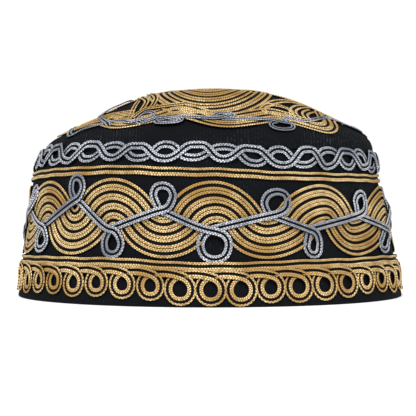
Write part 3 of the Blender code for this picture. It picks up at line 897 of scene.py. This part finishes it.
def add_line(name, rise, scale, lift, node_name):
    girth = 2 * math.pi * scale
    turn = np.linspace(0, 2 * math.pi, LINE_STATIONS, endpoint=False)
    waver = sum(rippled(ripple, turn) for ripple in LINE_RIPPLES)
    path = np.stack([turn * scale, rise + waver, np.full_like(turn, lift)], axis=1)
    bm = new_braid_bmesh()
    braid_mesh(bm, path, LINE_BRAID, band_paper(scale), lap=girth)
    add_piece(name, bm, node_name, gold)


add_line("rim_line_braid", RIM_LINE_RISE, RIM_SCALE, RIM_LINE_LIFT, "rim_line")
add_line("top_line_braid", TOP_LINE_RISE, BAND_SCALE, ON_CLOTH, "top_line")

# %% [markdown]
# Five gold braids lie side by side and wave round the band together. Each wave is an arc about a centre low
# under the crest, then an arc about a centre high over the trough, so the braids are the same arcs at five
# radii. The middle one is drawn first and the others are laid beside it. A table slides the crests and
# troughs a few degrees sideways, because the real waves aren't equally long. A sine would be shorter to
# write, but the innermost braid beside a sine would kink at its crests.

# %% Gold waves
WAVES = 12
WAVE_START = 2.3
CREST_RISE = 32.2
TROUGH_RISE = 43.8
BRAID_PITCH = 4.15
WAVE_BRAIDS = 5
ARC_STEPS = 24
WAVE_BRAID = soutache(width=4.12, thickness=0.95, groove=1.2)
WaveShift = namedtuple("WaveShift", "angle_deg shift_deg")
WAVE_SHIFTS = (
    WaveShift(-180.0, 0.0),
    WaveShift(-72.7, 0.0),
    WaveShift(-57.7, 0.7),
    WaveShift(-42.7, -0.6),
    WaveShift(-27.7, -0.9),
    WaveShift(-12.7, -0.6),
    WaveShift(2.3, 0.0),
    WaveShift(17.3, -0.6),
    WaveShift(32.3, 4.4),
    WaveShift(47.3, 0.2),
    WaveShift(62.3, 12.2),
    WaveShift(152.0, 0.0),
    WaveShift(180.0, 0.0),
)


def wave_middle():
    half = math.pi * BAND_SCALE / WAVES
    climb = TROUGH_RISE - CREST_RISE
    radius = math.hypot(half, climb) / 2
    tilt = math.atan2(climb, half)
    sweep = (math.pi - 2 * tilt) / ARC_STEPS
    path = []
    for wave in range(WAVES):
        crest = math.radians(WAVE_START) * BAND_SCALE + 2 * half * wave
        for step in range(ARC_STEPS):
            turn = math.pi - tilt - sweep * step
            path.append((crest + radius * math.cos(turn), CREST_RISE + radius * math.sin(turn), ON_CLOTH))
        for step in range(ARC_STEPS):
            turn = math.pi + tilt + sweep * step
            x, y = crest + half + radius * math.cos(turn), TROUGH_RISE + radius * math.sin(turn)
            path.append((x, y, ON_CLOTH))
    path = np.array(path)
    degrees = signed_degrees(path[:, 0] / BAND_SCALE)
    path[:, 0] += np.radians(eased(WAVE_SHIFTS, "angle_deg", "shift_deg", degrees)) * BAND_SCALE
    return path


def add_waves():
    girth = 2 * math.pi * BAND_SCALE
    middle = evened(wave_middle(), girth)[0]
    for k in range(WAVE_BRAIDS):
        offset = (k - WAVE_BRAIDS // 2) * BRAID_PITCH
        bm = new_braid_bmesh()
        braid_mesh(bm, beside(middle, offset, girth), WAVE_BRAID, band_paper(BAND_SCALE), lap=girth)
        add_piece(f"wave_braid_{k + 1}", bm, "wave_braids", gold)


add_waves()

# %% [markdown]
# The silver vine is a single braid that wanders over the gold and throws a small loop above each trough and
# below each crest. The front loops stand in a table, each with its own place, size and slant; round the
# back they follow evenly. One formula draws them all: in over the loop's own neck, round it, and out under
# the neck.

# %% Silver vine on the band
VineLoop = namedtuple("VineLoop", "upper angle_deg rise half_width half_height neck lean", defaults=(0.0,))
BAND_LOOPS = (
    VineLoop(True, -68.0, 48.1, 3.4, 4.1, 2.0, 0.5),
    VineLoop(False, -59.2, 27.4, 4.9, 4.2, 2.4, 0.2),
    VineLoop(True, -42.0, 51.3, 3.6, 4.4, 1.6, -0.2),
    VineLoop(False, -28.3, 26.0, 4.0, 4.6, 1.8),
    VineLoop(True, -12.6, 48.2, 4.3, 4.1, 2.6),
    VineLoop(False, 1.4, 27.2, 5.8, 5.9, 0.4),
    VineLoop(True, 20.4, 46.2, 5.4, 4.9, 1.0, 0.3),
    VineLoop(False, 30.5, 26.4, 3.2, 4.3, 2.4),
    VineLoop(True, 53.2, 46.9, 4.1, 4.1, 2.2, 0.5),
    VineLoop(False, 65.2, 27.0, 5.4, 4.1, 2.0, 0.5),
)
BACK_BAND_LOOPS = (VineLoop(True, 0.0, 48.5, 4.3, 4.2, 2.2), VineLoop(False, 0.0, 26.6, 4.3, 4.2, 2.0))
OVER_GOLD = ON_CLOTH + 1.0
LOOP_FAR = ON_CLOTH + 0.4
VINE_BRAID = soutache(width=3.6, thickness=0.95, groove=0.74)
LOOP_POINTS = 11


def all_loops(front, back, hidden):
    """All of a vine's loops in order: the front ones, then hidden more of the two back kinds."""
    first, last = front[0].angle_deg, front[-1].angle_deg
    gap = (360 + first - last) / (hidden + 1)
    return list(front) + [back[k % 2]._replace(angle_deg=last + gap * (k + 1)) for k in range(hidden)]


def loop_points(loop, x, low, high, far):
    """Points of one vine loop at x: in at the high lift, round its tip at far, out at the low lift."""
    side = 1 if loop.upper else -1
    w, h = loop.half_width, loop.half_height
    neck = h + loop.neck
    around = (
        (-1.1 * w, -neck - 1.2, high),
        (0.35 * w, -neck + 1.0, high),
        (0.90 * w, -0.5 * h, (high + far) / 2),
        (w, 0.1 * h, far),
        (0.7 * w, 0.76 * h, far),
        (0.0, h, far),
        (-0.7 * w, 0.76 * h, far),
        (-w, 0.1 * h, far),
        (-0.85 * w, -0.55 * h, low),
        (-0.35 * w, -neck + 0.1, low),
        (0.5 * w, -neck - 1.4, low),
    )
    return [(x + across + loop.lean * side * up, loop.rise + side * up, lift) for across, up, lift in around]


def add_band_vine():
    girth = 2 * math.pi * BAND_SCALE
    points = []
    for loop in all_loops(BAND_LOOPS, BACK_BAND_LOOPS, 2 * WAVES - len(BAND_LOOPS)):
        x = math.radians(loop.angle_deg) * BAND_SCALE
        points += loop_points(loop, x, OVER_GOLD, OVER_GOLD + ONE_BRAID, LOOP_FAR)
    bm = new_braid_bmesh()
    braid_mesh(bm, smoothed_lap(points, girth, LOOP_POINTS), VINE_BRAID, band_paper(BAND_SCALE), lap=girth)
    add_piece("band_vine_braid", bm, "band_vine", silver)


add_band_vine()

# %% [markdown]
# Two silver braids wave against each other over the seam. One is laid down first. The other climbs over it
# at every crossing and settles on the cloth in between. Both are one cosine, mirrored, with slow ripples
# that make the eyes of the plait uneven. Each could also go over and under in turn, but lifting one strand
# is enough to keep them apart.

# %% Plait over the seam
PLAIT_WAVES = 20
PLAIT_START = -4.0
PLAIT_RISE = 67.2
PLAIT_BRAID = soutache(width=3.5, thickness=0.85, groove=0.75)
PLAIT_STATIONS = 2400
PLAIT_POINTED = 0.08
PLAIT_SETTLE = 4
PLAIT_SIZES = Ripple(0.12, 9, 2)
PLAIT_SWAY = Ripple(0.45, 7, 1)
PLAIT_SLIDE = Ripple(0.9, 11, 1.5)
PlaitSwing = namedtuple("PlaitSwing", "angle_deg swing")
PLAIT_SWINGS = (
    PlaitSwing(-180, 3.6),
    PlaitSwing(-60, 4.0),
    PlaitSwing(-10, 3.1),
    PlaitSwing(15, 3.3),
    PlaitSwing(45, 4.1),
    PlaitSwing(180, 3.6),
)


def add_plait(name, side, over, node_name):
    girth = 2 * math.pi * PLAIT_SCALE
    turn = np.linspace(0, 2 * math.pi, PLAIT_STATIONS, endpoint=False)
    swing = np.cos(turn * PLAIT_WAVES)
    reach = eased(PLAIT_SWINGS, "angle_deg", "swing", signed_degrees(turn))
    humps = reach * (swing - PLAIT_POINTED * np.cos(3 * turn * PLAIT_WAVES))
    humps *= 1 + rippled(PLAIT_SIZES, turn, side)
    humps += rippled(PLAIT_SWAY, turn, side)
    x = (turn + math.radians(PLAIT_START)) * PLAIT_SCALE + rippled(PLAIT_SLIDE, turn, side)
    lift = ON_CLOTH + over * (1 - swing**PLAIT_SETTLE)
    path = np.stack([x, PLAIT_RISE + side * humps, lift], axis=1)
    bm = new_braid_bmesh()
    braid_mesh(bm, path, PLAIT_BRAID, band_paper(PLAIT_SCALE), lap=girth)
    add_piece(name, bm, node_name, silver)


add_plait("plait_braid_a", 1, ONE_BRAID, "plait_strand_a")
add_plait("plait_braid_b", -1, 0.0, "plait_strand_b")

# %% [markdown]
# On the crown, three gold braids go round side by side in nine shallow waves. They are drawn as circles
# whose radius swings, on the crown's round paper. Where they meet the outer end of a petal that lies high,
# they climb over it, so the petals' number and levels are set here already.

# %% Crown waves
CROWN_WAVES = 9
CROWN_WAVE_BRAIDS = 3
CROWN_WAVE_STATIONS = 900
CROWN_WAVE_START = math.radians(5.0)
RING_RADIUS = 69.6
RING_SWING = 3.8
CLIMB_HALF_ANGLE = math.radians(22)
CLIMB_RUN = math.radians(8)
PETALS = 5
PETAL_START = math.radians(-3.0)
PETAL_LEVELS = (1, 0, 1, 2, 0)
PETAL_CLIMB = 0.6
RING_BRAID = soutache(width=3.9, thickness=0.6, groove=1.15)


def ring_radius(angle):
    """Distance from the top to the middle of the crown's waves."""
    swing = RING_SWING * np.cos(CROWN_WAVES * (angle - CROWN_WAVE_START))
    return RING_RADIUS + swing + eased(STRAYS, "angle_deg", "crown", signed_degrees(angle))


def ring_lift(angle):
    """The waves' lift above the cloth, where they climb over the outer ends of the long petals."""
    turns = (angle - PETAL_START) / (2 * math.pi / PETALS)
    nearest = np.round(turns)
    off = (turns - nearest) * 2 * math.pi / PETALS
    long = np.array(PETAL_LEVELS)[nearest.astype(int) % PETALS] > 0
    climb = np.clip((CLIMB_HALF_ANGLE - np.abs(off)) / CLIMB_RUN, 0, 1) * long
    return ON_CLOTH + PETAL_CLIMB * climb * climb * (3 - 2 * climb)


def add_crown_waves():
    turn = np.linspace(0, 2 * math.pi, CROWN_WAVE_STATIONS, endpoint=False)
    for k in range(CROWN_WAVE_BRAIDS):
        radius = ring_radius(turn) + (k - CROWN_WAVE_BRAIDS // 2) * BRAID_PITCH
        path = np.stack([radius * np.sin(turn), -radius * np.cos(turn), ring_lift(turn)], axis=1)
        bm = new_braid_bmesh()
        braid_mesh(bm, path, RING_BRAID, crown_paper)
        add_piece(f"crown_wave_braid_{k + 1}", bm, "crown_waves", gold)


add_crown_waves()

# %% [markdown]
# A finer silver braid runs along the crown's waves. At the front it goes through a few listed places
# and four loops of its own, drawn by the formula of the band's vine and then bent round the top. Round the
# back two kinds of loop take turns. A second, short braid turns back on itself at the left, and both its
# ends sink into the cloth. Closed curves alone would be simpler, but that turn breaks the outline as seen
# from the front.

# %% Silver vine on the crown
CROWN_VINE_RADIUS = 70.5
CROWN_VINE_BRAID = soutache(width=2.4, thickness=0.6, groove=0.55)
CROWN_VINE_LOW = 0.4
CROWN_VINE_STEP = 0.5
CROWN_VINE_HIGH = CROWN_VINE_LOW + CROWN_VINE_STEP
CROWN_LOOPS = (
    VineLoop(True, -29.0, -68.2, 4.3, 3.8, 0.5),
    VineLoop(False, -17.0, -73.2, 6.0, 2.1, -0.7),
    VineLoop(True, 3.5, -69.8, 4.4, 2.3, -0.7),
    VineLoop(False, 25.0, -76.3, 5.3, 3.4, -0.4),
)
BACK_CROWN_LOOPS = (VineLoop(True, 0.0, -66.2, 4.4, 2.4, 0.8), VineLoop(False, 0.0, -74.8, 4.4, 2.4, 0.8))
BACK_VINE_START = 80.0
BACK_VINE_END = 270.0
BACK_CROWN_COUNT = 11

CrownPlace = namedtuple("CrownPlace", "angle_deg radius over")
VINE_LEFT = (
    CrownPlace(-59, 80.5, 0),
    CrownPlace(-54, 76.5, 0),
    CrownPlace(-48, 73.0, 0),
    CrownPlace(-43, 71.0, 0),
    CrownPlace(-37, 71.5, 0),
)
VINE_RIGHT = (
    CrownPlace(30, 69.0, 0),
    CrownPlace(36, 71.5, 0),
    CrownPlace(42, 70.0, 0),
    CrownPlace(49, 67.5, 0),
    CrownPlace(56, 65.5, 0),
    CrownPlace(61, 67.0, 0),
    CrownPlace(66, 70.5, 0),
    CrownPlace(72, 73.5, 0),
    CrownPlace(77, 75.0, 0),
)
LEFT_TURN = (
    CrownPlace(-72, 38.0, -4),
    CrownPlace(-72, 42.0, 1),
    CrownPlace(-72, 48.0, 1),
    CrownPlace(-70, 55.0, 1),
    CrownPlace(-64, 62.0, 0),
    CrownPlace(-55, 67.0, 0),
    CrownPlace(-46, 72.0, 1),
    CrownPlace(-43, 74.0, 1),
    CrownPlace(-42, 75.0, -4),
)


def on_waves(places):
    """Points of a silver braid through places on the crown.

    The last value of a place counts steps of lift: 0 on the gold, 1 over a strand, -4 sunk in the cloth.
    """
    points = []
    for angle_deg, radius, over in places:
        angle = math.radians(angle_deg)
        lift = CROWN_VINE_LOW + CROWN_VINE_STEP * over + float(ring_lift(angle))
        points.append((*polar(angle, radius), lift))
    return points


def crown_loops(loops):
    """Points of loops that are drawn as on the band and then bent round the top."""
    points = []
    for loop in loops:
        x = math.radians(loop.angle_deg) * CROWN_VINE_RADIUS
        for along, y, lift in loop_points(loop, x, CROWN_VINE_LOW, CROWN_VINE_HIGH, CROWN_VINE_LOW):
            angle = along / CROWN_VINE_RADIUS
            points.append((*polar(angle, -y), lift + float(ring_lift(angle))))
    return points


def back_loops():
    gap = (BACK_VINE_END - BACK_VINE_START) / BACK_CROWN_COUNT
    places = [BACK_VINE_START + gap * (k + 0.5) for k in range(BACK_CROWN_COUNT)]
    return [BACK_CROWN_LOOPS[k % 2]._replace(angle_deg=place) for k, place in enumerate(places)]


def add_crown_vine():
    front = on_waves(VINE_LEFT) + crown_loops(CROWN_LOOPS) + on_waves(VINE_RIGHT)
    course = front + crown_loops(back_loops())
    bm = new_braid_bmesh()
    braid_mesh(bm, smoothed(course), CROWN_VINE_BRAID, crown_paper)
    left_turn = smoothed(on_waves(LEFT_TURN), closed=False)
    braid_mesh(bm, left_turn, CROWN_VINE_BRAID, crown_paper, closed=False)
    add_piece("crown_vine_braid", bm, "crown_vine", silver)


add_crown_vine()

# %% [markdown]
# Five petals overlap round the top. Each is laid as rings of gold braid inside one another, longer than
# they are wide, with a strip of bare cloth left inside the two outermost rings. A list of levels says which
# petal lies over which, and where one covers another, the braids of the lower one end under the outermost
# ring of the upper one. The two petals that lie lowest have no outermost rings, and at the front their
# widest ring stops where other braid fills the space. A braid could run on under the next petal, but it
# would push through from below.

# %% Crown petals
PETAL_CENTRE = 34.0
PETAL_SHORT_END = 0.74
PETAL_STEP = 0.35
PETAL_PINCH = 0.42
PETAL_STATIONS = 240
LOW_PETAL_REACH = 20.0
FRONT_SPACES = math.radians(63)
PetalRing = namedtuple("PetalRing", "half_width reach edge")
PETAL_RINGS = (
    PetalRing(2.4, 2.8, False),
    PetalRing(6.2, 7.9, False),
    PetalRing(10.3, 13.1, False),
    PetalRing(14.3, 18.3, False),
    PetalRing(18.4, 23.5, False),
    PetalRing(23.5, 29.6, True),
    PetalRing(27.6, 34.6, True),
)
PETAL_EDGE = PETAL_RINGS[-1]
PETAL_PRESS = 0.26
MIN_RUN = 6


def petal_path(ring, axis, lift):
    """One ring of a petal: an egg with its long end outwards, where the braid is pressed wide."""
    turn = np.linspace(0, 2 * math.pi, PETAL_STATIONS, endpoint=False)
    up = np.cos(turn)
    out = PETAL_CENTRE + ring.reach * up * np.where(up < 0, PETAL_SHORT_END, 1)
    side = ring.half_width * np.sin(turn) * np.where(up < 0, 1 + PETAL_PINCH * up, 1)
    x = out * math.sin(axis) + side * math.cos(axis)
    y = -out * math.cos(axis) + side * math.sin(axis)
    press = 1 + PETAL_PRESS * np.clip(up, 0, 1) ** 2
    return np.stack([x, y, np.full_like(x, lift), press], axis=1)


def inside_petal(x, y, axis):
    """Which points lie inside the middle of a petal's outermost ring."""
    out = x * math.sin(axis) - y * math.cos(axis) - PETAL_CENTRE
    side = x * math.cos(axis) + y * math.sin(axis)
    up = out / PETAL_EDGE.reach / np.where(out < 0, PETAL_SHORT_END, 1)
    width = PETAL_EDGE.half_width * np.where(up < 0, 1 + PETAL_PINCH * up, 1)
    return up**2 + (side / np.maximum(width, 1)) ** 2 < 1


def visible_runs(hidden):
    """Index runs of the points of a closed path that aren't hidden, each as an array in order."""
    count = len(hidden)
    if not hidden.any():
        return [np.arange(count)]
    first = int(np.argmax(hidden))
    order = (np.arange(count) + first) % count
    shown = ~hidden[order]
    edges = np.flatnonzero(np.diff(np.concatenate([[0], shown.astype(int), [0]])))
    return [order[a:b] for a, b in zip(edges[::2], edges[1::2]) if b - a > MIN_RUN]


def add_petals():
    axes = [PETAL_START + 2 * math.pi * k / PETALS for k in range(PETALS)]
    for petal, (axis, level) in enumerate(zip(axes, PETAL_LEVELS)):
        bm = new_braid_bmesh()
        for ring in PETAL_RINGS:
            if level == 0 and ring.edge:
                continue
            path = petal_path(ring, axis, ON_CLOTH + (PETAL_STEP * level if ring.edge else 0.0))
            in_front = np.abs(np.arctan2(path[:, 0], -path[:, 1])) < FRONT_SPACES
            hidden = in_front & (level == 0) & (ring.reach > LOW_PETAL_REACH)
            for other, other_level in zip(axes, PETAL_LEVELS):
                if other_level > level:
                    hidden |= inside_petal(path[:, 0], path[:, 1], other)
            for run in visible_runs(hidden):
                braid_mesh(bm, path[run], RING_BRAID, crown_paper, closed=len(run) == len(path))
        add_piece(f"crown_petal_{petal + 1}", bm, "crown_petals", gold)


add_petals()

# %% [markdown]
# Between two petals, near the waves, sits an almond of gold braid beside an arch of a wider one. The almond
# is an ellipse, tilted to fit between the petals, and the arch is a smooth curve through three places. Both
# are drawn once, for the space at the front right, and turned about the top for the others.

# %% Eyes
EYE_CENTRE = (30.0, -54.0)
EYE_HALF_LENGTH = 8.0
EYE_HALF_WIDTH = 4.4
EYE_TILT = math.radians(33)
EYE_POINTS = 16
STRAND_PARTS = 16
ARCH_LIFT = 0.1
ARCH = ((22.5, -58.5), (28.5, -46.5), (40.5, -29.0))
ALMOND_BRAID = soutache(width=2.9, thickness=0.6, groove=0.75)
SPACE = 2 * math.pi / PETALS


def turned(points, angle):
    """Points of the crown's paper turned about the top."""
    sine, cosine = math.sin(angle), math.cos(angle)
    return [(x * cosine - y * sine, x * sine + y * cosine) for x, y in points]


def almond():
    """Points of a tilted oval between two petals."""
    points = []
    for turn in np.linspace(0, 2 * math.pi, EYE_POINTS, endpoint=False):
        along, aside = EYE_HALF_LENGTH * math.cos(turn), EYE_HALF_WIDTH * math.sin(turn)
        x = EYE_CENTRE[0] + along * math.cos(EYE_TILT) - aside * math.sin(EYE_TILT)
        y = EYE_CENTRE[1] + along * math.sin(EYE_TILT) + aside * math.cos(EYE_TILT)
        points.append((x, y))
    return points


def add_strand(bm, points, lift, closed=False, section=RING_BRAID):
    """Adds a braid through a few points of the crown's paper."""
    path = smoothed([(x, y, lift) for x, y in points], closed, parts=STRAND_PARTS)
    braid_mesh(bm, path, section, crown_paper, closed=closed)


def new_eye(space):
    """An almond and its arch in one of the spaces between the petals, counted from the front right."""
    bm = new_braid_bmesh()
    add_strand(bm, turned(almond(), space * SPACE), ON_CLOTH, closed=True, section=ALMOND_BRAID)
    add_strand(bm, turned(ARCH, space * SPACE), ON_CLOTH + ARCH_LIFT)
    return bm


for space in (1, 2, 3):
    add_piece(f"crown_eye_braid_{space + 1}", new_eye(space), f"crown_eye_{space + 1}", gold)

# %% [markdown]
# The space at the front right has two more curls beside its almond. They are few and all different, so each
# is just a list of three places.

# %% The space at the front right
CURL_LIFT = 0.2
CURLS = (
    ((40.0, -56.5), (38.0, -47.0), (45.5, -28.0)),
    ((45.0, -53.5), (43.5, -47.0), (47.0, -36.5)),
)
front_right = new_eye(0)
for curl in CURLS:
    add_strand(front_right, curl, ON_CLOTH + CURL_LIFT)
add_piece("crown_eye_braid_1", front_right, "crown_eye_1", gold)

# %% [markdown]
# At the front left there is no almond. Six short strands cross there, and the ones laid last lie higher, so
# each has its own lift beside its places.

# %% The space at the front left
Laid = namedtuple("Laid", "lift points")
STRANDS = (
    Laid(0.0, ((-41.0, -57.5), (-38.5, -42.5), (-34.0, -25.0))),
    Laid(0.0, ((-53.0, -34.5), (-46.0, -41.5), (-39.5, -47.5))),
    Laid(0.0, ((-51.5, -42.0), (-46.0, -46.5), (-40.5, -51.0))),
    Laid(1.0, ((-30.5, -28.0), (-27.5, -43.5), (-30.5, -55.0))),
    Laid(0.9, ((-35.0, -30.0), (-32.0, -43.0), (-34.5, -52.5))),
    Laid(1.1, ((-39.0, -58.5), (-33.5, -53.5), (-26.0, -55.5), (-14.5, -58.0))),
)
front_left = new_braid_bmesh()
for strand in STRANDS:
    add_strand(front_left, strand.points, ON_CLOTH + strand.lift, section=ALMOND_BRAID)
add_piece("crown_eye_braid_5", front_left, "crown_eye_5", gold)

# %% [markdown]
# A small ring of braid marks the very top, between the petals' inner ends.

# %% The knot
KNOT_RADIUS = 4.5
KNOT_STATIONS = 48


def add_knot():
    turn = np.linspace(0, 2 * math.pi, KNOT_STATIONS, endpoint=False)
    bm = new_braid_bmesh()
    add_strand(bm, list(zip(KNOT_RADIUS * np.cos(turn), KNOT_RADIUS * np.sin(turn))), ON_CLOTH, closed=True)
    add_piece("crown_knot_braid", bm, "crown_knot", gold)


add_knot()

# %% [markdown]
# The cap stands on a plain white floor that meets a white background. A wide sun lights it from the front
# and above, a weaker and wider one fills in from the right, and the white world does the rest. Area lamps
# would need their sizes and distances set against one another, while a sun has only a direction, a width
# and a power. The floor glows faintly, so that it stays white beside the cap.

# %% Floor and light
FLOOR_SIZE = 6.0
FLOOR_DROP = 0.05 * MM
FLOOR_GLOW = 0.22
FLOOR_COLOUR = (0.93, 0.93, 0.93, 1)
FLOOR_ROUGHNESS = 0.8
WHITE = (1, 1, 1, 1)
WORLD_SEEN = 1.05
WORLD_LIT = 0.45
Sun = namedtuple("Sun", "name place width_deg power")
SUNS = (Sun("key_light", (-0.12, -0.75, 0.84), 30, 2.7), Sun("fill_light", (0.60, -0.50, 0.40), 60, 0.6))


def add_floor():
    bm = bmesh.new()
    bmesh.ops.create_grid(bm, x_segments=1, y_segments=1, size=FLOOR_SIZE)
    bmesh.ops.translate(bm, verts=bm.verts, vec=(0, 0, -FLOOR_DROP))
    mesh = bpy.data.meshes.new("floor")
    bm.to_mesh(mesh)
    bm.free()
    made, tree, shader = plain_shader("floor")
    shader.inputs["Base Color"].default_value = FLOOR_COLOUR
    shader.inputs["Roughness"].default_value = FLOOR_ROUGHNESS
    shader.inputs["Emission Color"].default_value = WHITE
    shader.inputs["Emission Strength"].default_value = FLOOR_GLOW
    mesh.materials.append(made)
    floor = bpy.data.objects.new("floor", mesh)
    bpy.context.scene.collection.objects.link(floor)


def add_sun(sun):
    """A light from far away. The wider it looks from the cap, the softer its shadows are."""
    data = bpy.data.lights.new(sun.name, "SUN")
    data.angle = math.radians(sun.width_deg)
    data.energy = sun.power
    light = bpy.data.objects.new(sun.name, data)
    light.location = sun.place
    light.rotation_euler = Vector(sun.place).to_track_quat("Z", "Y").to_euler()
    bpy.context.scene.collection.objects.link(light)


def add_world():
    """A white world, brighter where the camera sees it than where it lights the cap."""
    world = bpy.data.worlds.new("world")
    world.use_nodes = True
    tree = world.node_tree
    background = tree.nodes["Background"]
    background.inputs["Color"].default_value = WHITE
    rays = node(tree, "ShaderNodeLightPath")
    strength = node(tree, "ShaderNodeMapRange")
    strength.inputs["To Min"].default_value = WORLD_LIT
    strength.inputs["To Max"].default_value = WORLD_SEEN
    tree.links.new(rays.outputs["Is Camera Ray"], strength.inputs["Value"])
    tree.links.new(strength.outputs["Result"], background.inputs["Strength"])
    bpy.context.scene.world = world


add_floor()
for sun in SUNS:
    add_sun(sun)
add_world()
bpy.context.scene.view_settings.view_transform = "Standard"
print("suns:", [sun.name for sun in SUNS])
